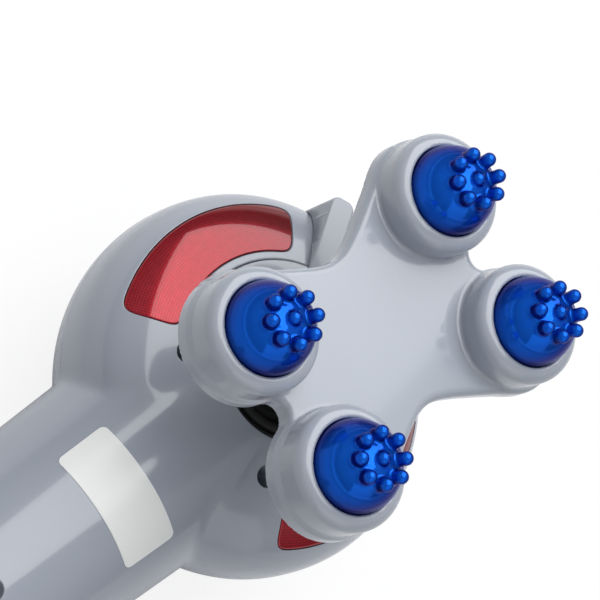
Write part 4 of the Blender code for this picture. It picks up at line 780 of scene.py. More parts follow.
def unit(vectors):
    """Vectors scaled to a length of one."""
    return vectors / np.maximum(np.linalg.norm(vectors, axis=1), 1e-9)[:, None]


def settled(rough, field, voxel, rounds=8):
    """Even mesh over a rough one, with every point moved onto the field's surface."""
    holder = bpy.data.objects.new("rough", rough)
    bpy.context.scene.collection.objects.link(holder)
    remesh = holder.modifiers.new("even", 'REMESH')
    remesh.mode = 'VOXEL'
    remesh.voxel_size = voxel
    mesh = evaluated(holder)
    bpy.data.objects.remove(holder)
    points = np.empty(len(mesh.vertices) * 3)
    mesh.vertices.foreach_get("co", points)
    points = points.reshape(-1, 3)
    for _ in range(rounds):
        slope = slope_of(field, points)
        steep = np.maximum((slope ** 2).sum(axis=1), 0.05)
        points -= slope * np.clip(field(points) / steep, -0.0006, 0.0006)[:, None]
    mesh.vertices.foreach_set("co", points.ravel())
    mesh.update()
    return mesh, unit(slope_of(field, points))


print("shape tools ready")


# %% [markdown]
# ## The casing as one mathematical surface
# The head is a drum with a flattish face and a deep back. The handle is a cone that runs out of
# its side. Both are written as fields that are negative inside, and a smooth minimum joins
# them with the small fillet of the real moulding. Two meshes joined by a boolean would have a
# hard crease there, and gloss shows every crease. A point on the skin is found by looking
# outwards from the handle's axis, which runs on through the head.

# %% Casing field
HANDLE_FLAT = 0.0312


def head_field(points):
    """Distance outside the head, measured along the ray from its centre."""
    across = np.hypot(points[:, 0], points[:, 1]) / HEAD_R
    up = points[:, 2]
    face = (across ** FACE_POWER + (np.maximum(up, 0) / FACE_RISE) ** FACE_POWER) ** (1 / FACE_POWER)
    back = (across ** BACK_POWER + (np.maximum(-up, 0) / BACK_DEPTH) ** BACK_POWER) ** (1 / BACK_POWER)
    reach = np.maximum(np.where(up >= 0, face, back), 1e-6)
    distance = np.linalg.norm(points, axis=1) * (1 - 1 / reach)
    return smooth_max(distance, -REST - up, 0.0012)


def handle_field(points):
    """Distance outside the handle's cone and its flattened top."""
    along = points[:, 0] * math.cos(TILT) - points[:, 2] * math.sin(TILT)
    up = points[:, 0] * math.sin(TILT) + points[:, 2] * math.cos(TILT)
    cone = np.hypot(points[:, 1], up) - (HANDLE_ROOT - HANDLE_TAPER * along)
    return np.maximum(smooth_max(cone, points[:, 2] - HANDLE_FLAT, 0.0025), -along)


def casing_field(points):
    """Head and handle with a fillet that widens away from the opening, from 0.3 to 1.9 mm."""
    share = np.clip((points[:, 0] - 0.026) / 0.018, 0, 1)
    k = 0.0003 + 0.0016 * share * share * (3 - 2 * share)
    return smooth_min(head_field(points), handle_field(points), k)


# %% Halving
def way_out(is_out, count, far, rounds=34):
    """Distance at which each of several rays comes out, found by halving."""
    near, far = np.zeros(count), np.full(count, far)
    for _ in range(rounds):
        middle = (near + far) / 2
        out = is_out(middle[:, None])
        far = np.where(out, middle, far)
        near = np.where(out, near, middle)
    return near


# %% [markdown]
# A point of the skin has two coordinates: its length along the handle's axis and its angle round
# it. At the round end of the handle, and behind the head's centre, the length bends with the
# skin, so that the triangles there stay even.

# %% Skin points
AXIS = np.array((math.cos(TILT), 0.0, -math.sin(TILT)))
AXIS_UP = np.array((math.sin(TILT), 0.0, math.cos(TILT)))
UP = np.array((0.0, 0.0, 1.0))
BACK_REACH = ((math.cos(TILT) / HEAD_R) ** FACE_POWER
              + (math.sin(TILT) / FACE_RISE) ** FACE_POWER) ** (-1 / FACE_POWER)
POLE = BACK_REACH * math.pi / 2 - 0.0002
CAP_START = STRAIGHT_END + END_ROUND * math.pi / 2
CAP_END = CAP_START + HANDLE_END - END_ROUND - 0.0065
MAP_ANGLE = 0.045


def rays(u, angle):
    """Centres on the axis and directions outwards, from a length and an angle."""
    s = np.where(u < 0, BACK_REACH * np.sin(np.maximum(u, -POLE) / BACK_REACH), u)
    bend = np.clip((u - STRAIGHT_END) / END_ROUND, 0, math.pi / 2)
    s = np.where(u > STRAIGHT_END, STRAIGHT_END + END_ROUND * np.sin(bend), s)
    ray = AXIS_UP * np.sin(angle)[:, None]
    ray[:, 1] += np.cos(angle)
    return AXIS * s[:, None], ray


def skin(u, angle):
    """Points of the casing's outside, from a length u along it and an angle round it."""
    centre, ray = rays(u, angle)
    reach = way_out(lambda step: casing_field(centre + ray * step) > 0, len(u), 0.09)
    bend = np.clip((u - STRAIGHT_END) / END_ROUND, 0, math.pi / 2)
    end = HANDLE_END - END_ROUND + END_ROUND * np.cos(bend) - np.maximum(u - CAP_START, 0)
    return centre + ray * np.where(u > STRAIGHT_END, end, reach)[:, None]


def map_of(points):
    """Length and angle on the casing of points near its skin."""
    s = points @ AXIS
    u = np.where(s < 0, BACK_REACH * np.arcsin(np.clip(s / BACK_REACH, -1, 0)), s)
    return u, np.arctan2(points @ AXIS_UP, points[:, 1])


def drop_onto(points, direction, reach=0.045):
    """Points of a plan moved along a direction onto the casing's skin."""
    start = points + direction * reach
    fall = way_out(lambda step: casing_field(start - direction * step) <= 0, len(points), reach)
    return start - direction * fall[:, None]


def face_top(lift):
    """Function that gives the height of the casing's face over a plan, plus a lift."""
    return lambda plan: drop_onto(flat_plan(plan), UP)[:, 2] + lift


print("head reaches", round(BACK_REACH / MM, 2), "mm along the handle's axis")


# %% [markdown]
# ## Where the casing is cut
# The face has the round opening, two windows and four screw wells, and the back has five air
# slots, the dial's slot and the rocker's. Booleans could cut them, but they leave long thin
# triangles that spoil the gloss, so the cuts are built into the mesh from the start.
#
# Each cut is an outline in plan, with the direction that it is cut in and the radius of its edge.
# Its walls have a depth, or go down to a seat, which may be closed. The outline is dropped onto
# the skin with three rings round it, which sink in a quarter circle, so that every cut has the
# small rounded edge of a moulded part.

# %% Plans
WELL_R = 0.0035
AIR_SLOT_INNER = 0.0430
AIR_SLOT_OUTER = 0.0452


def on_handle(plan):
    """Points of a plan along the handle's axis, in the head's frame."""
    return plan[:, :1] * AXIS + np.c_[np.zeros(len(plan)), plan[:, 1], np.zeros(len(plan))]


def flat_plan(plan):
    """Points of a plan through the head's centre."""
    return np.c_[plan, np.zeros(len(plan))]


def well_loop(x, y):
    """Round well for a casing screw."""
    return arc_points((x, y), WELL_R, 0, 360, 29)[:-1]


def slot_loop(middle):
    """Curved air slot round the back of the head."""
    sides = [arc_points((0, 0), AIR_SLOT_INNER, middle - 8, middle + 8, 20),
             arc_points((0, 0), AIR_SLOT_OUTER, middle + 8, middle - 8, 20)]
    return evened(np.vstack(sides), 0.0005, corner=0.0005)


# %% Cuts
WINDOW_INNER = 0.0381
WINDOW_OUTER = 0.0556
LEVER_OUTER = 0.0351
DIAL_X = 0.138
SWITCH_X = 0.180
window_loop = np.vstack([arc_points((0, 0), WINDOW_INNER, 51.6, 132.4, 60),
                         arc_points((0, 0), WINDOW_OUTER, 135.0, 52.6, 80)])
window_loop = evened(window_loop, 0.0007, corner=0.0022)
other_window = (window_loop * (1, -1))[::-1]
opening_loop = np.vstack([arc_points((0, 0), OPENING, -87.2, 173.0, 150),
                          arc_points((0, 0), LEVER_OUTER + 0.0003, 173.6, 272.2, 90)])
opening_loop = evened(opening_loop, 0.0006, corner=0.0008)
SEAT = 0.0060
HEAD_SEAT = SEAT - WELL_X * math.tan(TILT)
WELLS = [(WELL_X, WELL_Y, flat_plan, UP, HEAD_SEAT), (WELL_X, -WELL_Y, flat_plan, UP, HEAD_SEAT),
         (0.1180, 0.0, on_handle, AXIS_UP, SEAT), (0.2720, 0.0, on_handle, AXIS_UP, SEAT)]
front_cuts = [(opening_loop, flat_plan, UP, 0.0006, None, 0.0243, False),
              (window_loop, flat_plan, UP, 0.0004, 0.0022, None, False),
              (other_window, flat_plan, UP, 0.0004, 0.0022, None, False)]
for x, y, plan, direction, seat in WELLS:
    front_cuts.append((well_loop(x, y), plan, direction, 0.0004, None, seat, True))
back_cuts = []
for index in range(5):
    back_cuts.append((slot_loop(120 + 30 * index), flat_plan, -UP, 0.0003, 0.0040, None, False))
dial_slot = box_loop((DIAL_X, 0), 0.0109, 0.0031, 0.0006)
switch_slot = box_loop((SWITCH_X, 0), 0.0108, 0.0073, 0.0008)
back_cuts.append((dial_slot, on_handle, -AXIS_UP, 0.0003, 0.0025, None, False))
back_cuts.append((switch_slot, on_handle, -AXIS_UP, 0.0003, 0.0025, None, False))
print("cuts:", len(front_cuts), "on the face,", len(back_cuts), "on the back")


# %% [markdown]
# ## Casing skins
# The skin is filled with triangles on a flat map, length along the casing by angle round it, so
# that every ring of every cut is part of the mesh. The map is then bent into shape. The outer
# points take their normals straight from the field, so the gloss runs clean over the triangles.
# Along the seam the last column of points is sunk a little, which draws the joint line.

# %% Rings round the cuts
def rings_round(cuts):
    """Rings, holes, sunk points and walls of the cuts, on the flat map."""
    rings, holes, sunk, walls = [], [], [], []
    for loop, plan, direction, edge, depth, seat, closed in cuts:
        for step, (outwards, downwards) in enumerate(quarter_round(edge)):
            points = drop_onto(plan(grown(loop, outwards)), direction)
            u, angle = map_of(points)
            ring = np.c_[u, angle * MAP_ANGLE]
            rings.append(ring)
            sunk.append((ring, points - direction * downwards, step == EDGE_STEPS))
            if step == 0:
                holes.append(ring)
                walls.append((ring, direction, depth, seat, closed))
    return rings, holes, sunk, walls


# %% [markdown]
# The spare points of the map are close together on the head and wider apart on the straight
# handle. Three extra columns follow each seam.

# %% Triangles on the flat map
def filled_map(rings, holes, start, end):
    """Triangles of one half of the casing on the flat map, between two angles in degrees."""
    rows = np.r_[np.arange(-POLE, 0.066, 0.0013), np.arange(0.066, STRAIGHT_END, 0.0030),
                 np.linspace(STRAIGHT_END, CAP_START, 9), CAP_END]
    seam = np.array((0.10, 0.25, 0.60))
    columns = np.r_[start + seam, np.linspace(start + 1.8, end - 1.8, 99), end - seam[::-1]]
    u, angle = np.meshgrid(rows, np.radians(columns))
    border = (u == rows[0]) | (u == rows[-1]) | (angle == angle[0]) | (angle == angle[-1])
    spare = np.c_[u.ravel(), angle.ravel() * MAP_ANGLE]
    return fill(rings, spare, np.where(border, 0, 0.0006).ravel(), holes=holes)


# %% [markdown]
# The skin alone is a sheet. Walls go down from each cut, short lips go in along the seam, so that
# no gap shows between the halves, and a fan of triangles closes the tip of the head.

# %% Walls, seam and closed tip
def add_walls(shape, verts, points, near, walls):
    """Walls of the cuts, down to a depth or to a seat, which closes some of them."""
    for ring, direction, depth, seat, closed in walls:
        around = found(near, ring)
        deep = []
        for index in around:
            fall = depth if seat is None else points[index] @ direction - seat
            deep.append(shape.verts.new(points[index] - direction * fall))
        for step in range(len(around)):
            a, b = around[step - 1], around[step]
            shape.faces.new((verts[a], verts[b], deep[step], deep[step - 1]))
        if closed:
            shape.faces.new(deep)


def close_edges(shape, lips, first_row):
    """Inward lips along the seam, and a fan that closes the tip of the head."""
    tip = shape.verts.new(-AXIS * BACK_REACH)
    lips = {vert: shape.verts.new(point) for vert, point in lips.items()}
    for edge in [edge for edge in shape.edges if edge.is_boundary]:
        a, b = edge.verts
        if a in first_row and b in first_row:
            shape.faces.new((a, b, tip))
        elif a in lips and b in lips:
            shape.faces.new((a, b, lips[b], lips[a]))


# %% Casing half
def casing_half(name, cuts, start, end, node):
    """One half of the casing between two angles in degrees, with its cuts."""
    rings, holes, sunk, walls = rings_round(cuts)
    flat, faces = filled_map(rings, holes, start, end)
    angles = flat[:, 1] / MAP_ANGLE
    points = skin(flat[:, 0], angles)
    centre, ray = rays(flat[:, 0], angles)
    at_seam = np.minimum(angles - math.radians(start), math.radians(end) - angles) < math.radians(0.15)
    points[at_seam] -= ray[at_seam] * 0.00018
    smooth = (flat[:, 0] < STRAIGHT_END - 0.0001) & ~at_seam
    near = finder_of(flat)
    for ring, placed, last in sunk:
        indices = found(near, ring)
        points[indices] = placed
        smooth[indices] = last
    normals = np.where(smooth[:, None], unit(slope_of(casing_field, points)), 0)
    shape = bmesh.new()
    verts = [shape.verts.new(point) for point in points]
    for face in faces:
        shape.faces.new([verts[index] for index in face])
    add_walls(shape, verts, points, near, walls)
    lips = {verts[index]: points[index] - ray[index] * 0.0012
            for index in np.flatnonzero(at_seam & (flat[:, 0] > -POLE))}
    first_row = {verts[index] for index in np.flatnonzero(flat[:, 0] < -POLE + 1e-6)}
    close_edges(shape, lips, first_row)
    bmesh.ops.recalc_face_normals(shape, faces=shape.faces)
    mesh = bpy.data.meshes.new(name)
    shape.to_mesh(mesh)
    shape.free()
    if sum(face.normal.dot(face.center - Vector((0.1, 0, 0))) * face.area for face in mesh.polygons) < 0:
        mesh.flip_normals()
    mesh.transform(HEAD)
    full = np.zeros((len(mesh.vertices), 3))
    full[:len(normals)] = normals
    print(name, "has", len(mesh.polygons), "faces")
    show(name, mesh, shell_grey, "body", "grey_shell", node, normals=full)


casing_half("front_skin", front_cuts, 0.0, 180.0, "front_casing")
casing_half("back_skin", back_cuts, -180.0, 0.0, "back_casing")

# %% [markdown]
# The lever slides over a floor in its pocket. It is a shelf of the front casing, a little below
# the face, and only its end shows beside the lever.

# %% Pocket floor
floor_loop = np.vstack([arc_points((0, 0), 0.0209, -187, -86.5, 80),
                        arc_points((0, 0), LEVER_OUTER + 0.0007, -86.5, -187, 110)])
mesh, normals = slab(evened(floor_loop, 0.0008), level(0.0264), level(0.0244), 0, 0.004, HEAD)
show("pocket_floor", mesh, shell_grey, "body", "grey_shell")
print("pocket floor:", len(mesh.polygons), "faces")

# %% [markdown]
# ## Windows
# Each window is a lens that follows the face just under the casing's surface. A thin black sheet
# lies behind it, a little wider than the lens, and shows as a dark line round the lens. The lens
# could be cut out of a copy of the casing. As a slab over the same outline, it keeps an even gap
# and has a thickness.

# %% Lenses and black sheets
for name, loop in (("window_left", window_loop), ("window_right", other_window)):
    lens, normals = slab(grown(loop, -0.00022), face_top(-0.0002), face_top(-0.0017), 0.0005, 0.0013,
                         HEAD)
    show(name + "_lens", lens, window_red, "body", "red_window", name, normals=normals)
    # A black sheet a little wider than the lens lies just under it and shows as a dark line round it
    black_sheet, normals = slab(grown(loop, 0.0003), face_top(-0.0015), face_top(-0.0021), 0, 0.0015, HEAD)
    show(name + "_seal", black_sheet, satin_black, "body", "black_plastic")
print("lens faces:", len(lens.polygons))

# %% [markdown]
# ## Release lever
# The lever is a curved shoe that stands a little proud of the face, with a thumb tab that
# reaches over the rim of the head. The tab's top is flat and its sides go down to the curve of
# the head. Both could be bent into shape with modifiers, but as slabs they read their heights
# from the casing's own surface, so the gap under them is right everywhere.

# %% Shoe and tab
TAB_DEG = -148.2
TAB_TOP = 0.0320
TAB_BOTTOM = 0.0092
shoe_loop = np.vstack([arc_points((0, 0), OPENING + 0.0003, -166, -88, 60),
                       arc_points((0, 0), LEVER_OUTER, -88, -166, 80)])
shoe_loop = evened(shoe_loop, 0.0006, corner=0.0009)
shoe, shoe_normals = slab(shoe_loop, face_top(0.0008), level(0.0267), 0.0006, 0.0013, HEAD)
tab_loop = np.vstack([[(0.0326, 0.0044), (0.0326, -0.0044)],
                      arc_points((0.0585, -0.0014), 0.0030, -90, 0, 12),
                      arc_points((0.0585, 0.0014), 0.0030, 0, 90, 12)])
tab_angle = math.radians(TAB_DEG)
tab_turn = np.array(((math.cos(tab_angle), math.sin(tab_angle)),
                     (-math.sin(tab_angle), math.cos(tab_angle))))


def under_tab(plan):
    """Underside of the tab, just clear of the face and of the rim."""
    across = np.minimum(np.hypot(plan[:, 0], plan[:, 1]) / HEAD_R, 0.9999)
    face = FACE_RISE * (1 - across ** FACE_POWER) ** (1 / FACE_POWER)
    return np.maximum(face + 0.0006, TAB_BOTTOM)


tab, tab_normals = slab(evened(tab_loop, 0.0005) @ tab_turn, level(TAB_TOP), under_tab, 0.0009,
                        0.0012, HEAD)
show("lever_with_tab", joined(shoe, tab), plate_grey, "lever", "pale_plate", "release_lever",
     normals=np.vstack([shoe_normals, tab_normals]))
print("lever:", len(shoe.polygons), "faces on the shoe,", len(tab.polygons), "on the tab")

# %% [markdown]
# ## Ring, boot and post
# The release ring is a black band inside the opening. The rubber boot folds down and up again
# to a lip on the post, so that the post can shake while dust stays out. The post is cast in one
# piece with the carrier that holds the motor. All three are round, so each is turned from a
# profile with its corners softened. Only the room for two of the screws is carved out.

# %% Turned pieces round the post
ring = lathe([(21.4, 22.0), (21.4, 29.2), (22.9, 29.2), (22.9, 24.0), (25.8, 24.0), (25.8, 21.5),
              (21.4, 21.5)], HEAD, corner=0.4)
show("ring_in_opening", ring, satin_black, "lever", "black_plastic", "release_ring")
boot = lathe([(25.8, 20.0), (25.8, 21.2), (21.1, 21.2), (21.1, 29.3), (20.6, 30.6), (18.3, 30.6),
              (16.0, 25.0), (13.4, 25.0), (10.9, 31.9), (8.3, 31.9), (8.3, 29.3), (9.6, 29.3),
              (12.1, 23.7), (17.3, 23.7), (18.9, 28.0), (19.8, 19.0), (25.8, 19.0)], HEAD, corner=1.6)
show("folded_boot", boot, soft_rubber, "body", "black_rubber", "rubber_boot")
well_room = [lathe([(0, 9), (5.5, 9), (5.5, 4), (0, 4)], HEAD @ Matrix.Translation((WELL_X, y, 0)), 48)
             for y in (WELL_Y, -WELL_Y)]
carrier = lathe([(0, 11.0), (3.0, 11.0), (3.0, 68.0), (8.0, 68.0), (8.0, 8.0), (32.9, 8.0),
                 (32.9, 5.0), (23.8, 5.0), (23.8, -30.0), (21.3, -30.0), (21.3, 5.0), (0, 5.0)],
                HEAD, corner=0.8)
carrier = carved(carrier, *well_room)
show("carrier_and_post", carrier, cast_alloy, "body", "alloy", "motor_carrier")
print("turned pieces:", len(boot.polygons) + len(ring.polygons) + len(carrier.polygons), "faces")


# %% [markdown]
# ## Attachment
# The attachment is one moulding: a cross-shaped plate with four cups that rise from its arms.
# Its outline is four circles, joined by a web with two long hollow sides and two short round
# notches. Extruded outlines and tubes could be joined and bevelled, but a bevel breaks down
# where so many curves meet. As a field, the plate is that outline given a thickness, each cup is
# a rounded tube with a slightly wider foot, and a smooth minimum makes the small fillet between.

# %% Attachment field
WEB_HALF = 0.0216
WEB_HOLLOW = 0.0042
WEB_SLOPE = 0.6
SLANT_SCALE = 0.857
PLATE_MIDDLE = 0.0785
CUP_FLOOR = 0.0855
RECESS_TOP = 0.0800
RECESS_WALL = 0.0020
SHORT_X = CUP_X + math.sqrt((CUP_FOOT + SHORT_WAIST) ** 2 - CUP_Y ** 2)


def plate_edge(points):
    """Distance outside the plate's outline, seen from above."""
    x, y = np.abs(points[:, 0]), np.abs(points[:, 1])
    cup = np.hypot(x - CUP_X, y - CUP_Y) - CUP_FOOT
    waist = (y - WEB_HALF - np.hypot(WEB_HOLLOW, WEB_SLOPE * x)) * SLANT_SCALE
    web = smooth_max(waist, y - CUP_Y - CUP_FOOT, 0.002)
    web = np.maximum(web, x - CUP_X)
    notch = np.where(x < SHORT_X, SHORT_WAIST - np.hypot(x - SHORT_X, y), 1.0)
    by_notch = (SHORT_X - CUP_X) * (y - CUP_Y) + CUP_Y * (x - CUP_X) < 0
    edge = smooth_min(cup, web, 0.0012)
    return np.where(by_notch & (x > CUP_X - 0.002), notch, edge)


def rounded_block(edge, rise, radius):
    """Overlap of two distances with a true quarter-round edge."""
    a, b = edge + radius, rise + radius
    return np.minimum(np.maximum(a, b), 0) + np.hypot(np.maximum(a, 0), np.maximum(b, 0)) - radius


def attachment_field(points):
    """Plate with its four cups, and the recess under it."""
    z = points[:, 2]
    edge = plate_edge(points)
    upper = z > PLATE_MIDDLE
    rise = np.where(upper, z - PLATE_TOP, PLATE_BOTTOM - z)
    plate = rounded_block(edge, rise, np.where(upper, 0.0024, 0.0008))
    out = np.hypot(np.abs(points[:, 0]) - CUP_X, np.abs(points[:, 1]) - CUP_Y)
    foot = (CUP_FOOT - CUP_R) * np.clip((PLATE_TOP + 0.0005 - z) / 0.0030, 0, 1)
    cup = rounded_block(out - CUP_R - foot, z - CUP_TOP, 0.0042)
    cup = np.maximum(cup, PLATE_MIDDLE - z)
    k = 0.0014 * np.clip((-edge - 0.0002) / 0.003, 0.05, 1)
    body = smooth_min(plate, cup, k)
    bore = np.maximum(out - CUP_BORE, CUP_FLOOR - z)
    body = smooth_max(body, -bore, 0.0008)
    recess = np.maximum(edge + RECESS_WALL, z - RECESS_TOP)
    return smooth_max(body, -recess, 0.0004)


# %% Attachment shell
def plate_loop(inset, spacing=0.0008):
    """Outline of the plate moved in by an inset, found along rays from its middle."""
    angles = np.linspace(0, math.tau, 720, endpoint=False)
    ray = np.c_[np.cos(angles), np.sin(angles)]
    near = way_out(lambda step: plate_edge(ray * step) > -inset, len(ray), 0.075)
    return evened(ray * near[:, None], spacing)


rough = [loaf(plate_loop(0.0003, 0.0015), 0.0752, 0.0818, 0.001)]
for x, y in CUPS:
    rough.append(lathe([(0, 79), (18.4, 79), (18.4, 90.8), (16.5, 92.7), (14.8, 93), (14.2, 92),
                        (14.2, 85.3), (0, 85.3)], Matrix.Translation((x, y, 0)), 48))
shell, normals = settled(joined(*rough), attachment_field, 0.00062)
shell.transform(ATTACHED)
show("four_cup_plate", shell, plate_grey, "attachment", "pale_plate", "attachment_shell",
     normals=normals, sharp=180)
print("attachment shell:", len(shell.polygons), "faces")

# %% [markdown]
# Under the plate a thin cover closes the recess, and the black socket collar is screwed on it.
# The collar slides over the post. The cover is the plate's own outline moved in a little, so it
# fits the recess all round.

# %% Cover and collar
cover = loaf(plate_loop(RECESS_WALL + 0.0003), PLATE_BOTTOM, PLATE_BOTTOM + 0.0018, 0.0004, ATTACHED)
show("cover_under_plate", cover, plate_grey, "attachment", "pale_plate", "attachment_back")
collar = lathe([(0, 74.7), (22.2, 74.7), (22.2, 71.7), (16.8, 71.7), (15.3, 70.2), (15.3, 35.0),
                (13.8, 33.5), (0, 33.5)], ATTACHED, corner=0.5)
bore = lathe([(0, 80.0), (8.3, 80.0), (8.3, 34.0), (9.3, 33.0), (9.3, 30.0), (0, 30.0)], HEAD)
show("socket_over_post", carved(collar, bore), satin_black, "attachment", "black_plastic",
     "socket_collar")
print("cover:", len(cover.polygons), "faces")


# %% [markdown]
# ## Domes
# Each dome is a hollow half ball with a short skirt. Eight nubs lean outwards round an upright
# one, and each is a rounded rod that flows into the ball with a small fillet. Rods pushed into a
# ball would meet it in a hard line, so the dome is a settled skin too. It is made once and copied
# four times. The domes turn freely, so each has come to rest at its own angle.

# %% Dome field
DOME_OUTER = 0.0138
DOME_INNER = 0.0118
DOME_SKIRT = -0.0062
NUB_COUNT = 8
NUB_R = 0.0021
NUB_ROOT = (0.00615, 0.0, 0.0085)
NUB_TIP = (0.00747, 0.0, 0.0147)
UPRIGHT_ROOT = (0.0, 0.0, 0.0090)
UPRIGHT_TIP = (0.0, 0.0, 0.0143)
NUB_FILLET = 0.0010


def capsule(points, start, end, radius):
    """Distance outside a rounded rod."""
    start, end = np.array(start), np.array(end)
    along = end - start
    share = np.clip((points - start) @ along / (along @ along), 0, 1)
    return np.linalg.norm(points - start - share[:, None] * along, axis=1) - radius


def hollow_ball(points, radius, low):
    """Half ball with a skirt, solid, cut off at a height."""
    around = np.hypot(points[:, 0], points[:, 1])
    ball = np.where(points[:, 2] > 0, np.linalg.norm(points, axis=1), around) - radius
    return smooth_max(ball, low - points[:, 2], 0.0005)


def dome_field(points):
    """Hollow dome with its nine nubs, around the ball's centre."""
    body = hollow_ball(points, DOME_OUTER, DOME_SKIRT)
    for index in range(NUB_COUNT):
        spin = Matrix.Rotation(math.tau * index / NUB_COUNT, 3, 'Z')
        rod = capsule(points, spin @ Vector(NUB_ROOT), spin @ Vector(NUB_TIP), NUB_R)
        body = smooth_min(body, rod, NUB_FILLET)
    body = smooth_min(body, capsule(points, UPRIGHT_ROOT, UPRIGHT_TIP, NUB_R), NUB_FILLET)
    return smooth_max(body, -hollow_ball(points, DOME_INNER, -0.0200), 0.0003)


# %% [markdown]
# The rough dome is a turned shell with nine short rods set into it. It is only near the true
# form, and the field then gives the exact one.

# %% Rough dome
outer = [(13.5 * math.sin(turn), 13.5 * math.cos(turn)) for turn in np.linspace(0.1, math.pi / 2, 16)]
inner = [(11.9 * math.cos(turn), 11.9 * math.sin(turn))
         for turn in np.linspace(0, math.pi / 2 - 0.1, 12)]
rough = [lathe([(0, 13.5), *outer, (13.5, -6.1), (11.9, -6.1), *inner, (0, 11.9)], None, 48)]
rods = [Matrix.Translation((0, 0, NUB_ROOT[2]))]
for index in range(1, NUB_COUNT + 1):
    spin = Matrix.Rotation(math.tau * index / NUB_COUNT, 4, 'Z')
    rods.append(spin @ Matrix.Translation(NUB_ROOT) @ Matrix.Rotation(math.radians(12), 4, 'Y'))
for place in rods:
    rough.append(lathe([(0, 3.0), (2.0, 3.0), (2.0, 7.0), (1.2, 8.1), (0, 8.3)], place, 16))
dome, dome_normals = settled(joined(*rough), dome_field, 0.00042)
print("dome:", len(dome.polygons), "faces")

# %% Domes and their bases
DOME_TURNS_DEG = (22, 20, 9, 12)
for number, ((x, y), degrees) in enumerate(zip(CUPS, DOME_TURNS_DEG), 1):
    cup = ATTACHED @ Matrix.Translation((x, y, 0))
    turn = Matrix.Rotation(math.radians(degrees), 4, 'Z')
    copy = dome.copy()
    copy.transform(cup @ Matrix.Translation((0, 0, DOME_CENTRE)) @ turn)
    body = "roller_%d" % number
    show("nubbed_dome_%d" % number, copy, dome_blue, body, "blue_dome", "roller_dome_%d" % number,
         normals=dome_normals @ np.array(turn.to_3x3()).T, sharp=180)
    disc = lathe([(2.3, 88.0), (2.3, 91.5), (4.2, 91.5), (4.2, 89.4), (11.5, 89.4), (11.5, 87.4),
                  (2.3, 87.4)], cup, 64, corner=0.3)
    show("dome_base_%d" % number, disc, base_blue, body, "blue_base", "roller_base_%d" % number)
print("domes:", len(CUPS))

# %% [markdown]
# ## Label
# The bare label is a thin white film on the neck. A Shrinkwrap modifier could press a flat card
# onto the casing. Here it is made on a flat map like the casing's, then bent round the handle, so
# it hugs the skin all over and its edge stays a true rounded rectangle.

# %% Bare label
NECK_R = 0.0353
label_loop = box_loop((0.06855, math.radians(89) * NECK_R), 0.0094, math.radians(35.5) * NECK_R,
                      0.0020, 0.0006)
inner_loop = grown(label_loop, -0.00012)
spots = spots_in(label_loop, inner_loop, 0.0012)
flat, faces = fill([label_loop, inner_loop], spots, np.full(len(spots), 0.0007), label_loop)
on_skin = skin(flat[:, 0], flat[:, 1] / NECK_R)
outward = unit(slope_of(casing_field, on_skin))
rim = found(finder_of(flat), label_loop)
lift = np.full(len(flat), 0.00034)
lift[rim] = 0.00026
shape = closed_up(on_skin + outward * lift[:, None], on_skin - outward * 0.0001, faces, rim)
normals = np.vstack([outward, np.zeros_like(outward)])
show("bare_film_label", mesh_from(shape, "label", HEAD), film_white, "body", "white_label",
     "bare_label", normals=normals)
print("label:", len(faces), "triangles a side")

# %% [markdown]
# ## Controls on the back of the handle
# The speed dial is a wheel with ribs for the thumb, set in a slot so that only its rim shows.
# The rocker sits in a frame that is snapped into the casing. The ribs could be a bump in the
# material, but the rim is seen edge on, so they are real geometry. The wheel, the rocker and the
# frame are all lofts.

# %% Dial
DIAL_R = 0.0130
DIAL_PROUD = 0.0025
DIAL_RIBS = 24
RIB_DEPTH = 0.0004
turns = np.linspace(0, math.tau, 288, endpoint=False)
rib = np.clip(np.cos(turns * DIAL_RIBS) * 2.2, -1, 1)
dial_loop = np.c_[np.cos(turns), np.sin(turns)] * (DIAL_R + RIB_DEPTH / 2 * (rib - 1))[:, None]
dial_height = HANDLE_TAPER * DIAL_X - HANDLE_ROOT - DIAL_PROUD + DIAL_R
dial_place = (HANDLE @ Matrix.Translation((DIAL_X, 0, dial_height))
              @ Matrix.Rotation(-math.pi / 2, 4, 'X'))
axle = lathe([(0, 0), (1.7, 0), (1.7, 9.1), (0, 9.1)], dial_place, 32, corner=0.3)
wheel = loaf(dial_loop, -0.0025, 0.0025, 0.0007, dial_place)
show("ribbed_dial", joined(wheel, axle), satin_black, "dial", "black_plastic", "speed_dial")
print("dial ribs:", DIAL_RIBS)

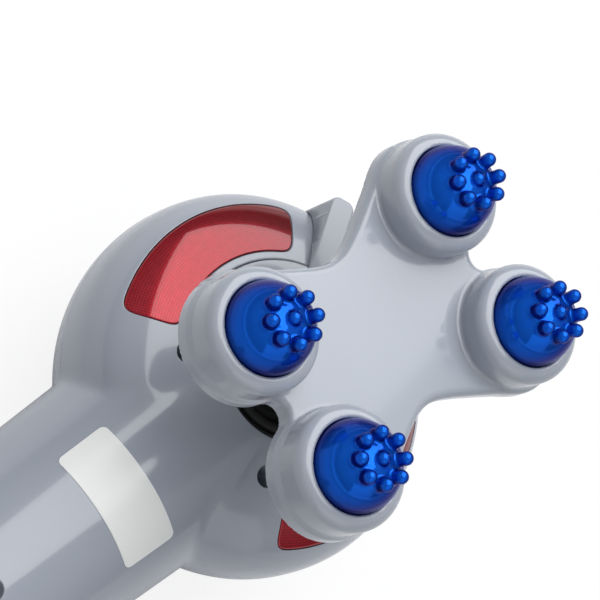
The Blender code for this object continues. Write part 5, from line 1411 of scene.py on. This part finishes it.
# %% Rocker and its frame
switch_face = HANDLE_TAPER * SWITCH_X - HANDLE_ROOT - 0.0008
FRAME_HALF = np.array((0.0105, 0.0070))
FRAME_WALL = 0.0014
outside = box_loop((0, 0), *FRAME_HALF, 0.0010)
pocket = outside * (1 - FRAME_WALL / FRAME_HALF)
rings = [(outside, -0.0063), (outside, switch_face + 0.0004),
         (grown(outside, -0.00012), switch_face + 0.0001), (grown(outside, -0.0004), switch_face),
         (grown(pocket, 0.0002), switch_face), (pocket, switch_face + 0.0002),
         (pocket, switch_face + 0.0104)]
switch_place = HANDLE @ Matrix.Translation((SWITCH_X, 0, 0))
show("rocker_frame", loft(rings, switch_place), satin_black, "body", "black_plastic", "switch_housing")
rocker_points = np.array([(-6.77, -6.6), (-3.4, -5.7), (0.0, -5.2), (3.4, -5.7), (6.77, -6.6),
                          (6.17, 0.0), (3.47, 1.73), (-3.47, 1.73), (-6.17, 0.0)]) * MM
rocker_place = (switch_place @ Matrix.Translation((0, 0, switch_face + 0.0052))
                @ Matrix.Rotation(math.pi / 2, 4, 'X'))
rocker = loaf(evened(rocker_points, 0.0003, corner=0.0005), -0.0050, 0.0050, 0.0005, rocker_place)
show("rocker_cap", rocker, satin_black, "rocker", "black_plastic", "mode_rocker")
print("rocker:", len(rocker.polygons), "faces")

# %% [markdown]
# ## Cord inlet
# A soft bush is clipped into the end of the handle, with a bore for the cord. It is round, with a
# groove that holds the casing's wall, so it is turned from a profile that runs round the bore.

# %% Inlet bush
inlet_place = (HANDLE @ Matrix.Translation((HANDLE_LENGTH, 0, 0))
               @ Matrix.Rotation(math.pi / 2, 4, 'Y'))
bush = lathe([(4.2, 0), (4.2, 3.3), (6.2, 3.3), (8.8, 1.65), (8.8, 0.3), (6.2, 0.3), (6.2, -2.8),
              (7.5, -2.8), (7.5, -5.8), (4.2, -5.8)], inlet_place, 64, corner=0.4)
show("inlet_bush", bush, soft_rubber, "body", "black_rubber", "cord_inlet_bush")
print("inlet bush:", len(bush.polygons), "faces")

# %% [markdown]
# ## Pieces that keep their solids
# The motor, the lamps, the boards and the screws have the right shape already, so they keep
# their solids and only take a finish.

# %% Finishes on the kept solids
finishes = {
    steel: ("casing_screw", "retainer_screw", "collar_screw", "roller_pin", "motor_can", "motor_shaft",
            "eccentric_weight"),
    satin_black: ("boot_retainer", "motor_end_cap", "brush_gear", "speed_potentiometer"),
    soft_rubber: ("rubber_bush",),
    bearing_brass: ("lower_bearing", "upper_bearing"),
    winding: ("armature", "commutator"),
    ferrite: ("field_magnet",),
    nylon: ("cooling_fan",),
    lamp_red: ("warming_lamps",),
    circuit: ("control_board",),
}
kept = 0
for name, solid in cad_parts.items():
    for finish, stems in finishes.items():
        if name.startswith(stems):
            for slot in solid.material_slots:
                slot.material = finish
            kept += 1
print("kept solids:", kept)
